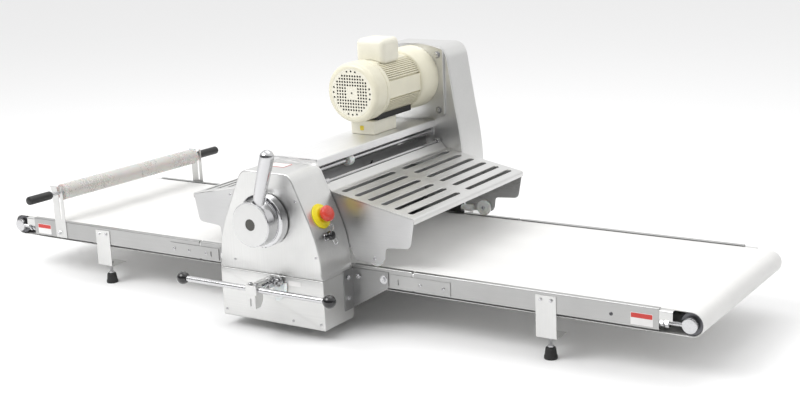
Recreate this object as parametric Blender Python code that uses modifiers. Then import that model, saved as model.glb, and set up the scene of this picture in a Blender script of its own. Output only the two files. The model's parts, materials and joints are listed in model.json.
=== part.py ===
"""Table-top reversible dough sheeter, in metres, +Z up.

X runs along the conveyors, Y runs across them and Z is up.  The operator stands
on the -Y side.  Everything is laid out in a machine frame whose Y = 0 is the
centre line of the belts; one empty then moves the whole machine along Y, so that
the middle of its footprint is the origin.
"""
import math

import bmesh
import bpy
from mathutils import Matrix, Vector

# ---------------------------------------------------------------- driving sizes
GAP = 0.0003                # clearance between pieces that touch in the real machine
SHEET = 0.002               # rails, brackets, guards and the bridge
SKIN = 0.0015               # folded covers
MACHINE_SHIFT_Y = 0.0326    # machine frame to the middle of the footprint

BELT_WIDTH = 0.500
BELT_THICKNESS = 0.002
ROLLER_RADIUS = 0.025       # the small rollers that carry the belts
BELT_INNER_RADIUS = 0.0255
BELT_OUTER_RADIUS = BELT_INNER_RADIUS + BELT_THICKNESS
BELT_AXIS_Z = 0.128
END_ROLLER_X = 0.985
DRIVE_ROLLER_X = 0.066
BELT_HALF = BELT_WIDTH / 2

RAIL_OUTER_Y = 0.2647
RAIL_TOP_Z = 0.158
RAIL_HEIGHT = 0.0475
RAIL_LIP = 0.012
RAIL_START_X = 0.156
RAIL_JOINT_X = 0.320
RAIL_END_X = 0.920
BRACKET_Y = RAIL_OUTER_Y + GAP          # inner face of everything bolted to a rail

PRESS_RADIUS = 0.036        # the two rollers that press the dough
PRESS_HALF_LENGTH = 0.2545
LOWER_PRESS_Z = 0.122
ROLLER_OPENING = 0.016      # at rest, in the middle of the adjustment
UPPER_PRESS_Z = LOWER_PRESS_Z + 2 * PRESS_RADIUS + ROLLER_OPENING
SHAFT_RADIUS = 0.0125

SIDE_PLATE_INNER_Y = 0.2655
SIDE_PLATE_THICKNESS = 0.006
COVER_START_Y = SIDE_PLATE_INNER_Y + SIDE_PLATE_THICKNESS + GAP
FRONT_FACE_Y = -0.385
REAR_FACE_Y = 0.380
HEAD_HALF_WIDTH = 0.151
HEAD_BOTTOM_Z = 0.027
HEAD_FOOT_X = 0.085
HEAD_FOOT_Y = 0.240
CROSS_BAR_HALF = 0.110
TRAY_HALF = 0.060
FLANK_BEND = ((0.1475, 0.165), (0.1475, 0.225), (0.120, 0.285))      # X, Z of a swelling flank
BASE_TOP_Z = 0.147
BRIDGE_TOP_Z = 0.403
BRIDGE_HALF_WIDTH = 0.067

GUARD_PIVOT = (0.080, 0.348)            # X, Z of the right guard's hinge rod
GUARD_BEND = (0.100, 0.327)
GUARD_EDGE = (0.328, 0.283)
GUARD_CHEEK_Y = 0.2625
GUARD_ROD_RADIUS = 0.004
GUARD_SLOT = (0.2245, 0.015)            # length and width of a slot
GUARD_SLOT_ROW_Y = 0.1307
GUARD_SLOT_START_X = 0.119
GUARD_SLOT_PITCH = 0.0367
WHEEL_RADIUS = 0.020
WHEEL_AXIS = (0.216, RAIL_TOP_Z + GAP + WHEEL_RADIUS)

DIAL_X = 0.002
DIAL_Z = 0.282
DIAL_RADIUS = 0.053
DIAL_FACE_Y = -0.450
LEVER_TILT = math.radians(17)
LEVER_LENGTH = 0.167

SHIFT_Z = 0.128
SHIFT_BAR_Y = -0.450
SHIFT_HALF_LENGTH = 0.215
BALL_RADIUS = 0.0155

MOTOR_X = 0.006
MOTOR_Z = 0.518
MOTOR_RADIUS = 0.0715
FAN_COVER_RADIUS = 0.0763
FLANGE_HALF = 0.090
FLANGE_CENTRE = (0.0125, 0.5045)        # X, Z; the motor's axis lies above it
FLANGE_ARCH = 0.0125                    # rise of the flange's top edge
FLANGE_Y = 0.2570
PULLEY_Y = (0.306, 0.324)
MOTOR_PULLEY_RADIUS = 0.028
PRESS_PULLEY_RADIUS = 0.075

LEG_X = 0.660
LEG_BRACKET_WIDTH = 0.050
LEG_FLANGE_Z = 0.052
FOOT_Y = 0.246

PIN_Z = 0.2385
PIN_FORK_X = (-0.811, -0.777)           # front fork, rear fork
PIN_ROD_RADIUS = 0.0045
PIN_RADIUS = 0.022
PIN_HALF_LENGTH = 0.253
PIN_ROD_SLIDE = 0.012       # the rod has slid this far towards the operator

STOP_Y = -0.335             # emergency stop and knob, on the right flank of the head
STOP_Z = 0.2875
FLANK_GAP = 0.0005          # both sit just clear of the cover
KNOB_Z = 0.242

MATERIALS = {               # base colour, roughness, metallic
    "brushed_steel": ((0.62, 0.62, 0.61), 0.36, 1.0),
    "polished_steel": ((0.78, 0.78, 0.79), 0.14, 1.0),
    "machined_steel": ((0.50, 0.51, 0.53), 0.30, 1.0),
    "cream_paint": ((0.83, 0.80, 0.66), 0.42, 0.0),
    "white_belt": ((0.88, 0.88, 0.84), 0.65, 0.0),
    "white_nylon": ((0.90, 0.90, 0.88), 0.40, 0.0),
    "black_plastic": ((0.02, 0.02, 0.02), 0.30, 0.0),
    "black_rubber": ((0.03, 0.03, 0.03), 0.75, 0.0),
    "yellow_plastic": ((0.85, 0.76, 0.05), 0.40, 0.0),
    "red_plastic": ((0.72, 0.12, 0.10), 0.35, 0.0),
    "clear_plastic": ((0.62, 0.62, 0.58), 0.20, 0.0),
}


# ---------------------------------------------------------------- scene and tools
def empty_scene():
    for old in list(bpy.data.objects):
        bpy.data.objects.remove(old, do_unlink=True)


def new_collection(name):
    collection = bpy.data.collections.new(name)
    bpy.context.scene.collection.children.link(collection)
    return collection


def new_material(name):
    colour, roughness, metallic = MATERIALS[name]
    material = bpy.data.materials.new(name)
    material.use_nodes = True
    shader = material.node_tree.nodes["Principled BSDF"]
    shader.inputs["Base Color"].default_value = (*colour, 1.0)
    shader.inputs["Roughness"].default_value = roughness
    shader.inputs["Metallic"].default_value = metallic
    return material


empty_scene()
PARTS = new_collection("dough_sheeter")
CUTTERS = new_collection("cutters")
MACHINE = bpy.data.objects.new("machine", None)
MACHINE.location = (0, MACHINE_SHIFT_Y, 0)
PARTS.objects.link(MACHINE)


def add_object(name, bm):
    """An object in the machine frame; the bmesh is freed."""
    mesh = bpy.data.meshes.new(name)
    bm.to_mesh(mesh)
    bm.free()
    obj = bpy.data.objects.new(name, mesh)
    PARTS.objects.link(obj)
    obj.parent = MACHINE
    return obj


def add_mesh(name, bm):
    """A closed object with its faces turned outwards and its round sides shaded smooth."""
    bmesh.ops.recalc_face_normals(bm, faces=bm.faces[:])
    obj = add_object(name, bm)
    obj.data.shade_smooth()
    obj.data.set_sharp_from_angle(angle=math.radians(35))
    return obj


def block(name, low, high, edge=0.0):
    """A box between two corners, with its edges rounded by edge."""
    bm = bmesh.new()
    bmesh.ops.create_cube(bm, size=1.0)
    size = [high[i] - low[i] for i in range(3)]
    centre = [(high[i] + low[i]) / 2 for i in range(3)]
    bmesh.ops.transform(bm, matrix=Matrix.Translation(centre) @ Matrix.Diagonal((*size, 1)),
                        verts=bm.verts)
    if edge:
        bmesh.ops.bevel(bm, geom=bm.edges[:], offset=edge, segments=3, profile=0.5, affect="EDGES")
    return add_mesh(name, bm)


def curve_to_bmesh(name, curve):
    """The evaluated, welded mesh of a curve; the curve itself is removed."""
    guide = bpy.data.objects.new(name + "_outline", curve)
    CUTTERS.objects.link(guide)
    bpy.context.view_layer.update()
    mesh = bpy.data.meshes.new_from_object(guide.evaluated_get(bpy.context.evaluated_depsgraph_get()))
    bpy.data.objects.remove(guide)
    bm = bmesh.new()
    bm.from_mesh(mesh)
    bpy.data.meshes.remove(mesh)
    bmesh.ops.remove_doubles(bm, verts=bm.verts, dist=1e-6)
    return bm


PLANES = {                  # outline axes and thickness axis, as columns
    "XZ": Matrix(((1, 0, 0), (0, 0, -1), (0, 1, 0))),
    "YZ": Matrix(((0, 0, 1), (1, 0, 0), (0, 1, 0))),
}


def plate(name, outlines, low, high, plane="XZ"):
    """Flat outlines filled and given a thickness from low to high; inner outlines are holes."""
    curve = bpy.data.curves.new(name, "CURVE")
    curve.dimensions = "2D"
    curve.fill_mode = "BOTH"
    curve.extrude = (high - low) / 2
    for outline in outlines:
        spline = curve.splines.new("POLY")
        spline.points.add(len(outline) - 1)
        for point, (across, up) in zip(spline.points, outline):
            point.co = (across, up, 0, 1)
        spline.use_cyclic_u = True
    bm = curve_to_bmesh(name, curve)
    turn = PLANES[plane].to_4x4()
    middle = (high + low) / 2
    shift = Matrix.Translation((0, middle, 0) if plane == "XZ" else (middle, 0, 0))
    bmesh.ops.transform(bm, matrix=shift @ turn, verts=bm.verts)
    return add_mesh(name, bm)


def lathe(name, profile, origin, axis, steps=24):
    """(radius, height) points, from the top down the outer side, turned about axis at origin."""
    bm = bmesh.new()
    points = [bm.verts.new((radius, 0, height)) for radius, height in profile]
    for first, second in zip(points, points[1:]):
        bm.edges.new((first, second))
    if profile[0][0] > 0:
        bm.edges.new((points[-1], points[0]))
    obj = add_object(name, bm)
    obj.location = origin
    obj.rotation_mode = "QUATERNION"
    obj.rotation_quaternion = Vector(axis).to_track_quat("Z", "Y")
    turn = obj.modifiers.new("turn", "SCREW")
    turn.steps = steps
    turn.render_steps = steps
    turn.use_merge_vertices = True
    turn.merge_threshold = 1e-5
    turn.use_smooth_shade = False
    return obj


def rod(name, radius, start, end, steps=16):
    """A plain round bar between two points."""
    along = Vector(end) - Vector(start)
    length = along.length
    return lathe(name, [(0, length), (radius, length), (radius, 0), (0, 0)], start, along, steps)


def wire_loop(name, points, radius):
    """A closed loop of round wire, as a mesh."""
    curve = bpy.data.curves.new(name, "CURVE")
    curve.dimensions = "3D"
    curve.bevel_depth = radius
    curve.bevel_resolution = 1
    spline = curve.splines.new("POLY")
    spline.points.add(len(points) - 1)
    for point, place in zip(spline.points, points):
        point.co = (*place, 1)
    spline.use_cyclic_u = True
    return add_mesh(name, curve_to_bmesh(name, curve))


def boolean(target, tools, operation):
    for tool in tools:
        step = target.modifiers.new(operation.lower(), "BOOLEAN")
        step.operation = operation
        step.solver = "EXACT"
        step.object = tool
        PARTS.objects.unlink(tool)
        CUTTERS.objects.link(tool)
        tool.hide_render = True
        tool.display_type = "WIRE"
    return target


def join(target, *tools):
    return boolean(target, tools, "UNION")


def cut(target, *tools):
    return boolean(target, tools, "DIFFERENCE")


def solidify(obj, thickness):
    """Turns an open surface into a sheet that grows inwards."""
    sheet = obj.modifiers.new("sheet", "SOLIDIFY")
    sheet.thickness = thickness
    sheet.offset = -1
    sheet.use_even_offset = True
    return obj


def pivot_at(obj, point):
    """Moves an object's origin onto its joint's axis and leaves its shape where it is."""
    obj.data.transform(Matrix.Translation(-Vector(point)))
    obj.location = point
    return obj


def finish(obj, material):
    obj.data.materials.clear()
    obj.data.materials.append(SURFACES[material])
    return obj


SURFACES = {name: new_material(name) for name in MATERIALS}


# ---------------------------------------------------------------- outline helpers
def arc(centre, radius, start, end, steps=6):
    """Points on a circle from start to end, in degrees."""
    angles = [math.radians(start + (end - start) * i / steps) for i in range(steps + 1)]
    return [(centre[0] + radius * math.cos(a), centre[1] + radius * math.sin(a)) for a in angles]


def bend(first, corner, last, steps=5):
    """A smooth bend that leaves first towards corner and arrives at last."""
    points = []
    for i in range(steps + 1):
        t = i / steps
        weights = ((1 - t) ** 2, 2 * t * (1 - t), t ** 2)
        points.append(tuple(sum(w * p[k] for w, p in zip(weights, (first, corner, last)))
                            for k in range(2)))
    return points


def mirrored(half):
    """Closes a right half, listed upwards, with its mirror image."""
    return half + [(-across, up) for across, up in reversed(half)]


def loop_round(centres, radii, steps=12):
    """The outline of a band run round two wheels that lie side by side or one above the other."""
    (xa, za), (xb, zb) = centres
    ra, rb = radii
    distance = math.hypot(xb - xa, zb - za)
    heading = math.degrees(math.atan2(zb - za, xb - xa))
    lean = math.degrees(math.acos((ra - rb) / distance))
    return (arc((xb, zb), rb, heading - lean, heading + lean, steps)
            + arc((xa, za), ra, heading + lean, heading + 360 - lean, steps))


def stadium(centre, length, width, steps=4):
    """A round-ended slot, long in its second direction."""
    reach = (length - width) / 2
    upper = (centre[0], centre[1] + reach)
    lower = (centre[0], centre[1] - reach)
    return arc(upper, width / 2, 0, 180, steps) + arc(lower, width / 2, 180, 360, steps)


def front_outline():
    """The front cover seen from the operator's side: a swelling flank under a straight slope."""
    half = [(HEAD_HALF_WIDTH, BASE_TOP_Z + 0.0005), (HEAD_HALF_WIDTH, 0.152)]
    half += bend(*FLANK_BEND)
    half += bend((0.080, 0.3724), (0.0705, 0.393), (0.050, 0.393))
    return half


def rear_outline():
    """The taller drive cover at the back."""
    half = [(0.150, HEAD_BOTTOM_Z + 0.003)]
    half += bend((0.150, 0.260), (0.150, 0.340), (0.131, 0.430))
    half += bend((0.110, 0.562), (0.104, 0.600), (0.072, 0.600))
    return half


def flank_point(z):
    """Surface point and outward direction on the right flank of the front cover."""
    start, corner, last = FLANK_BEND
    t = min((z - start[1]) / (last[1] - start[1]), 1.0)
    slope_x = 2 * t * (last[0] - corner[0])
    slope_z = last[1] - start[1]
    x = start[0] + t * t * (last[0] - corner[0])
    x += (z - last[1]) * slope_x / slope_z if z > last[1] else 0.0
    return x, Vector((slope_z, 0, -slope_x)).normalized()


# ---------------------------------------------------------------- head: frame and covers
def make_base():
    """Two cross bars on rubber feet with the crumb tray between them, under the side plates."""
    reach = SIDE_PLATE_INNER_Y - GAP
    inner = TRAY_HALF - SHEET
    tray = block("base_tray", (-TRAY_HALF, -reach, 0.0485), (TRAY_HALF, reach, 0.062))
    cut(tray, block("tray_hollow", (-inner, -reach + SHEET, 0.0485 + SHEET), (inner, reach - SHEET, 0.070)))
    for side in (-1, 1):
        low_y, high_y = sorted((side * 0.2150, side * reach))
        join(tray, block("cross_bar", (-CROSS_BAR_HALF, low_y, 0.030), (CROSS_BAR_HALF, high_y, 0.050)))
        for x in (-HEAD_FOOT_X, HEAD_FOOT_X):
            join(tray, rod("base_foot", 0.018, (x, side * HEAD_FOOT_Y, 0), (x, side * HEAD_FOOT_Y, 0.031)))
    finish(tray, "brushed_steel")

    cover = block("base_cover_front", (-HEAD_HALF_WIDTH, FRONT_FACE_Y, HEAD_BOTTOM_Z),
                  (HEAD_HALF_WIDTH, -COVER_START_Y, BASE_TOP_Z))
    inside = block("base_hollow", (-HEAD_HALF_WIDTH + SKIN, FRONT_FACE_Y + SKIN, HEAD_BOTTOM_Z + SKIN),
                   (HEAD_HALF_WIDTH - SKIN, -0.2, BASE_TOP_Z - SKIN))
    shaft_hole = rod("shift_hole", 0.0088, (0, FRONT_FACE_Y - 0.01, SHIFT_Z),
                     (0, FRONT_FACE_Y + 0.01, SHIFT_Z))
    finish(cut(cover, inside, shaft_hole), "brushed_steel")


def shaft_holes(side):
    """Cutters for the shafts and the sliding blocks that pass a side plate."""
    near = side * (SIDE_PLATE_INNER_Y - 0.01)
    far = side * (SIDE_PLATE_INNER_Y + SIDE_PLATE_THICKNESS + 0.01)
    tools = [rod("press_shaft_hole", SHAFT_RADIUS + 0.001, (0, near, LOWER_PRESS_Z),
                 (0, far, LOWER_PRESS_Z))]
    for x in (-DRIVE_ROLLER_X, DRIVE_ROLLER_X):
        tools.append(rod("drive_shaft_hole", 0.0108, (x, near, BELT_AXIS_Z), (x, far, BELT_AXIS_Z)))
    low_y, high_y = sorted((near, far))
    tools.append(block("slide_window", (-0.0225, low_y, UPPER_PRESS_Z - 0.0405),
                       (0.0225, high_y, UPPER_PRESS_Z + 0.0405)))
    return tools


def make_side_plates():
    lowest = [(HEAD_HALF_WIDTH - 0.001, HEAD_BOTTOM_Z + 0.003)]
    front = plate("side_plate_front", [mirrored(lowest + front_outline())],
                  -SIDE_PLATE_INNER_Y - SIDE_PLATE_THICKNESS, -SIDE_PLATE_INNER_Y)
    finish(cut(front, *shaft_holes(-1)), "brushed_steel")
    rear = plate("side_plate_rear", [mirrored(rear_outline())],
                 SIDE_PLATE_INNER_Y, SIDE_PLATE_INNER_Y + SIDE_PLATE_THICKNESS)
    motor_hole = rod("motor_hole", 0.032, (MOTOR_X, 0.25, MOTOR_Z), (MOTOR_X, 0.29, MOTOR_Z), 32)
    finish(cut(rear, motor_hole, *shaft_holes(1)), "brushed_steel")


def cover_shell(name, outline, face_y, open_y):
    """A folded cover: one face and the wall round it, open towards the side plate."""
    bm = bmesh.new()
    face_ring = [bm.verts.new((x, face_y, z)) for x, z in outline]
    open_ring = [bm.verts.new((x, open_y, z)) for x, z in outline]
    face = bm.faces.new(face_ring)
    count = len(outline)
    for i in range(count):
        k = (i + 1) % count
        bm.faces.new((face_ring[k], face_ring[i], open_ring[i], open_ring[k]))
    outward = 1 if open_y < face_y else -1
    bm.normal_update()
    if face.normal.y * outward < 0:
        bmesh.ops.reverse_faces(bm, faces=bm.faces[:])
    return solidify(add_object(name, bm), SKIN)


def make_covers():
    front = cover_shell("front_housing", mirrored(front_outline()), FRONT_FACE_Y, -COVER_START_Y)
    dial_hole = rod("dial_hole", 0.0125, (DIAL_X, FRONT_FACE_Y - 0.01, DIAL_Z),
                    (DIAL_X, FRONT_FACE_Y + 0.01, DIAL_Z))
    finish(cut(front, dial_hole), "brushed_steel")
    rear = cover_shell("rear_housing", mirrored(rear_outline()), REAR_FACE_Y, COVER_START_Y)
    finish(rear, "brushed_steel")
    gland = [(0.0, 0.020), (0.006, 0.020), (0.0085, 0.013), (0.011, 0.011), (0.011, 0.0), (0.0, 0.0)]
    finish(lathe("cable_gland", gland, (0.090, REAR_FACE_Y + GAP, 0.100), (0, 1, 0), 20),
           "black_plastic")


def make_bridge():
    """The channel that spans the rollers, with two tie rods fixed in its end flanges."""
    reach = SIDE_PLATE_INNER_Y - GAP
    inner = BRIDGE_HALF_WIDTH - SHEET
    channel = block("bridge_cover", (-BRIDGE_HALF_WIDTH, -reach, 0.360),
                    (BRIDGE_HALF_WIDTH, reach, BRIDGE_TOP_Z))
    cut(channel, block("bridge_hollow", (-inner, -reach + SHEET, 0.350),
                       (inner, reach - SHEET, BRIDGE_TOP_Z - SHEET)))
    for side in (-1, 1):
        edges = sorted((side * inner * 0.98, side * (BRIDGE_HALF_WIDTH + 0.01)))
        cut(channel, block("bridge_skirt_trim", (edges[0], -reach - 0.01, 0.350),
                           (edges[1], reach + 0.01, 0.385)))
    for x in (-0.052, 0.052):
        join(channel, rod("tie_rod", 0.006, (x, -reach + 0.001, 0.372), (x, reach - 0.001, 0.372)))
    finish(channel, "brushed_steel")


# ---------------------------------------------------------------- head: rollers and scrapers
def stepped_roller(name, radius, half, shaft, ends, z, x=0.0, extra=()):
    """A solid roller with a shaft that runs from ends[0] to ends[1] along Y.

    extra is a list of (radius, low, high) discs on the far end of the shaft."""
    profile = [(0, ends[1]), (shaft, ends[1])]
    for disc, low, high in sorted(extra, key=lambda d: -d[1]):
        profile += [(shaft, high), (disc, high), (disc, low), (shaft, low)]
    profile += [(shaft, half), (radius, half), (radius, -half), (shaft, -half)]
    profile += [(shaft, ends[0]), (0, ends[0])]
    return lathe(name, profile, (x, 0, z), (0, 1, 0), 28)


def make_press_rollers():
    lower = stepped_roller("lower_roller", PRESS_RADIUS, PRESS_HALF_LENGTH, SHAFT_RADIUS,
                           (-0.290, 0.345), LOWER_PRESS_Z, extra=[(0.026, 0.285, 0.291)])
    finish(lower, "machined_steel")
    upper = stepped_roller("upper_roller", PRESS_RADIUS, PRESS_HALF_LENGTH, SHAFT_RADIUS,
                           (-0.274, 0.274), UPPER_PRESS_Z)
    finish(upper, "machined_steel")
    for side, name in ((-1, "drive_roller_left"), (1, "drive_roller_right")):
        roller = stepped_roller(name, ROLLER_RADIUS, BELT_HALF - 0.002, 0.010, (-0.280, 0.300),
                                BELT_AXIS_Z, side * DRIVE_ROLLER_X, extra=[(0.020, 0.285, 0.291)])
        finish(roller, "machined_steel")


def blade(name, tip, heel, half_length):
    """A thin scraper blade between two (x, z) points, long in Y."""
    along = Vector((heel[0] - tip[0], heel[1] - tip[1]))
    across = Vector((-along.y, along.x)).normalized() * 0.00075
    outline = [(tip[0] + across.x, tip[1] + across.y), (heel[0] + across.x, heel[1] + across.y),
               (heel[0] - across.x, heel[1] - across.y), (tip[0] - across.x, tip[1] - across.y)]
    return plate(name, [outline], -half_length, half_length)


def make_carriage():
    """Sliding blocks, their end plates, a cross bar and the two upper scrapers, in one frame."""
    middle = UPPER_PRESS_Z
    bar = block("roller_carriage", (-0.020, -0.258, middle + 0.058), (0.020, 0.258, middle + 0.064))
    for side in (-1, 1):
        inner, outer = sorted((side * 0.2570, side * 0.2645))
        join(bar, block("end_plate", (-0.034, inner, middle - 0.024), (0.034, outer, middle + 0.065)))
        inner, outer = sorted((side * 0.2640, side * 0.2760))
        join(bar, block("slide_block", (-0.0220, inner, middle - 0.024),
                        (0.0220, outer, middle + 0.024)))
        join(bar, blade("upper_blade", (side * 0.0300, middle + 0.0240), (side * 0.0325, middle + 0.0600),
                        0.2575))
        cut(bar, rod("bearing_bore", SHAFT_RADIUS + 0.0008, (0, side * 0.25, middle),
                     (0, side * 0.28, middle)))
    for side in (-1, 1):
        low, high = sorted((side * 0.015, side * 0.0332))
        join(bar, block("blade_holder", (low, -0.2575, middle + 0.0575), (high, 0.2575, middle + 0.0620)))
    pivot_at(bar, (0, 0, middle))
    finish(bar, "brushed_steel")


def make_lower_scrapers():
    frame = block("lower_scrapers", (-0.060, -0.2645, 0.066), (0.060, -0.2450, 0.078))
    join(frame, block("rear_strip", (-0.060, 0.2450, 0.066), (0.060, 0.2645, 0.078)))
    for side in (-1, 1):
        join(frame, blade("lower_blade", (side * 0.0292, 0.0970), (side * 0.0560, 0.0740), 0.2505))
    finish(frame, "brushed_steel")


# ---------------------------------------------------------------- head: guards
def cheek_outline():
    """The side cheek of the right guard, with the tab that carries the wheel."""
    outline = [(GUARD_BEND[0] - 0.002, GUARD_BEND[1] - 0.0010), (GUARD_EDGE[0], GUARD_EDGE[1] - 0.0005)]
    outline += bend((0.3175, 0.226), (0.3155, 0.213), (0.304, 0.2115), 4)
    outline += bend((0.252, 0.2075), (0.2475, 0.207), (0.2470, 0.2030), 2)
    outline += bend((0.2455, 0.188), (0.244, 0.170), (0.228, 0.1670), 4)
    outline += [(0.163, 0.1665), (0.102, 0.300)]
    return outline


def flip(outline, side):
    return [(side * across, up) for across, up in outline]


def make_guard(side, name):
    """A slotted cover hinged at its inner edge; side is +1 on the right."""
    lug = (GUARD_PIVOT[0] + 0.0050, GUARD_PIVOT[1] - 0.0050)
    section = flip([lug, GUARD_BEND, GUARD_EDGE, (GUARD_EDGE[0] - 0.0005, GUARD_EDGE[1] - 0.011)], side)
    bm = bmesh.new()
    rows = [[bm.verts.new((x, y, z)) for x, z in section]
            for y in (-GUARD_CHEEK_Y - 0.001, GUARD_CHEEK_Y + 0.001)]
    for i in range(len(section) - 1):
        ring = (rows[0][i], rows[0][i + 1], rows[1][i + 1], rows[1][i])
        bm.faces.new(ring if side > 0 else ring[::-1])
    guard = solidify(add_object(name, bm), SHEET)
    slope = math.atan2(GUARD_BEND[1] - GUARD_EDGE[1], GUARD_EDGE[0] - GUARD_BEND[0])
    for row in (-1, 1):
        for column in range(6):
            x = GUARD_SLOT_START_X + GUARD_SLOT_PITCH * column
            z = GUARD_BEND[1] - (x - GUARD_BEND[0]) * math.tan(slope)
            bm = bmesh.new()
            slot = stadium((0, 0), *GUARD_SLOT, 3)
            bottom = bm.faces.new([bm.verts.new((u, v, -0.010)) for u, v in slot])
            lifted = bmesh.ops.extrude_face_region(bm, geom=[bottom])["geom"]
            bmesh.ops.translate(bm, vec=(0, 0, 0.020),
                                verts=[v for v in lifted if isinstance(v, bmesh.types.BMVert)])
            place = (Matrix.Translation((side * x, row * GUARD_SLOT_ROW_Y, z))
                     @ Matrix.Rotation(side * slope, 4, "Y"))
            bmesh.ops.transform(bm, matrix=place, verts=bm.verts)
            cut(guard, add_mesh("guard_slot", bm))
    for end in (-1, 1):
        low, high = sorted((end * (GUARD_CHEEK_Y - 0.001), end * (GUARD_CHEEK_Y + 0.001)))
        join(guard, plate("cheek", [flip(cheek_outline(), side)], low, high))
        axle_x, axle_z = side * WHEEL_AXIS[0], WHEEL_AXIS[1]
        join(guard, rod("wheel_axle", 0.004, (axle_x, end * 0.2620, axle_z),
                        (axle_x, end * 0.2482, axle_z), 16))
        join(guard, rod("axle_head", 0.007, (axle_x, end * 0.2492, axle_z),
                        (axle_x, end * 0.2470, axle_z), 16))
        join(guard, rod("knuckle", 0.0078, (side * GUARD_PIVOT[0], end * 0.2620, GUARD_PIVOT[1]),
                        (side * GUARD_PIVOT[0], end * 0.2460, GUARD_PIVOT[1]), 20))
        cut(guard, rod("knuckle_bore", GUARD_ROD_RADIUS + 0.0004,
                       (side * GUARD_PIVOT[0], end * 0.2640, GUARD_PIVOT[1]),
                       (side * GUARD_PIVOT[0], end * 0.2440, GUARD_PIVOT[1]), 20))
    pivot_at(guard, (side * GUARD_PIVOT[0], 0, GUARD_PIVOT[1]))
    finish(guard, "brushed_steel")


def make_guard_fittings(side, label):
    reach = SIDE_PLATE_INNER_Y - GAP
    hinge_rod = rod("guard_rod_" + label, GUARD_ROD_RADIUS, (side * GUARD_PIVOT[0], -reach, GUARD_PIVOT[1]),
                    (side * GUARD_PIVOT[0], reach, GUARD_PIVOT[1]), 20)
    finish(hinge_rod, "polished_steel")
    wheel = [(0.0045, 0.0045), (WHEEL_RADIUS, 0.0045), (WHEEL_RADIUS, -0.0045), (0.0045, -0.0045)]
    for end, place in ((-1, "front"), (1, "rear")):
        centre = (side * WHEEL_AXIS[0], end * 0.2553, WHEEL_AXIS[1])
        finish(lathe("guard_wheel_%s_%s" % (label, place), wheel, centre, (0, 1, 0), 20), "white_nylon")


# ---------------------------------------------------------------- head: controls
def make_gap_control():
    """The notched dial with its shaft and pinion, and the tapered lever that turns it."""
    face = DIAL_FACE_Y
    profile = [(0, 0.150), (0.020, 0.150), (0.020, 0.138), (0.010, 0.138), (0.010, 0.062),
               (0.063, 0.062), (0.063, 0.036), (0.056, 0.034), (0.056, 0.032),
               (DIAL_RADIUS, 0.032), (DIAL_RADIUS, 0.002), (DIAL_RADIUS - 0.002, 0), (0, 0)]
    dial = lathe("gap_dial", profile, (DIAL_X, face, DIAL_Z), (0, 1, 0), 32)
    lever_y = face + 0.0165
    aim = Vector((math.sin(LEVER_TILT), 0, math.cos(LEVER_TILT)))
    root = Vector((DIAL_X, lever_y, DIAL_Z)) + aim * 0.046
    cut(dial, rod("lever_socket", 0.0128, root - aim * GAP,
                  Vector((DIAL_X, lever_y, DIAL_Z)) + aim * 0.080, 20))
    finish(dial, "polished_steel")

    ball = 0.017
    top = [(ball * math.sin(math.radians(a)), LEVER_LENGTH + ball * math.cos(math.radians(a)))
           for a in range(0, 91, 18)]
    profile = top + [(0.0125, 0.052), (0.0122, 0.046), (0, 0.046)]
    finish(lathe("gap_lever", profile, (DIAL_X, lever_y, DIAL_Z), aim, 20), "polished_steel")


def make_shift_control():
    """The cross bar with two ball knobs that shifts the drive left, off or right."""
    hub = rod("shift_hub", 0.008, (0, -0.325, SHIFT_Z), (0, SHIFT_BAR_Y + 0.006, SHIFT_Z))
    join(hub, rod("hub_collar", 0.014, (0, -0.4080, SHIFT_Z), (0, -0.3900, SHIFT_Z)),
         block("hub_clamp", (-0.016, -0.4620, SHIFT_Z - 0.012), (0.016, -0.4380, SHIFT_Z + 0.012)),
         block("hub_hanger", (-0.0150, -0.4610, SHIFT_Z - 0.045), (0.0120, -0.4310, SHIFT_Z - 0.0105)))
    cut(hub, block("hanger_hollow", (-0.0132, -0.4592, SHIFT_Z - 0.060), (0.0102, -0.4200, SHIFT_Z - 0.0135)),
        rod("bar_bore", 0.0074, (-0.03, SHIFT_BAR_Y, SHIFT_Z), (0.03, SHIFT_BAR_Y, SHIFT_Z)),
        plate("hanger_slot", [stadium((-0.004, SHIFT_Z - 0.030), 0.022, 0.006)], -0.470, -0.455))
    finish(hub, "brushed_steel")
    seat = SHIFT_HALF_LENGTH - BALL_RADIUS * 0.86
    finish(rod("shift_bar", 0.007, (-seat + GAP, SHIFT_BAR_Y, SHIFT_Z),
               (seat - GAP, SHIFT_BAR_Y, SHIFT_Z)), "brushed_steel")
    cap = math.degrees(math.acos(0.86))
    angles = [i * (180 - cap) / 8 for i in range(9)]
    ball = [(BALL_RADIUS * math.sin(math.radians(a)), BALL_RADIUS * math.cos(math.radians(a)))
            for a in angles]
    ball.append((0, -BALL_RADIUS * 0.86))
    for side, name in ((-1, "shift_ball_left"), (1, "shift_ball_right")):
        finish(lathe(name, ball, (side * SHIFT_HALF_LENGTH, SHIFT_BAR_Y, SHIFT_Z), (side, 0, 0), 16),
               "black_plastic")


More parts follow.
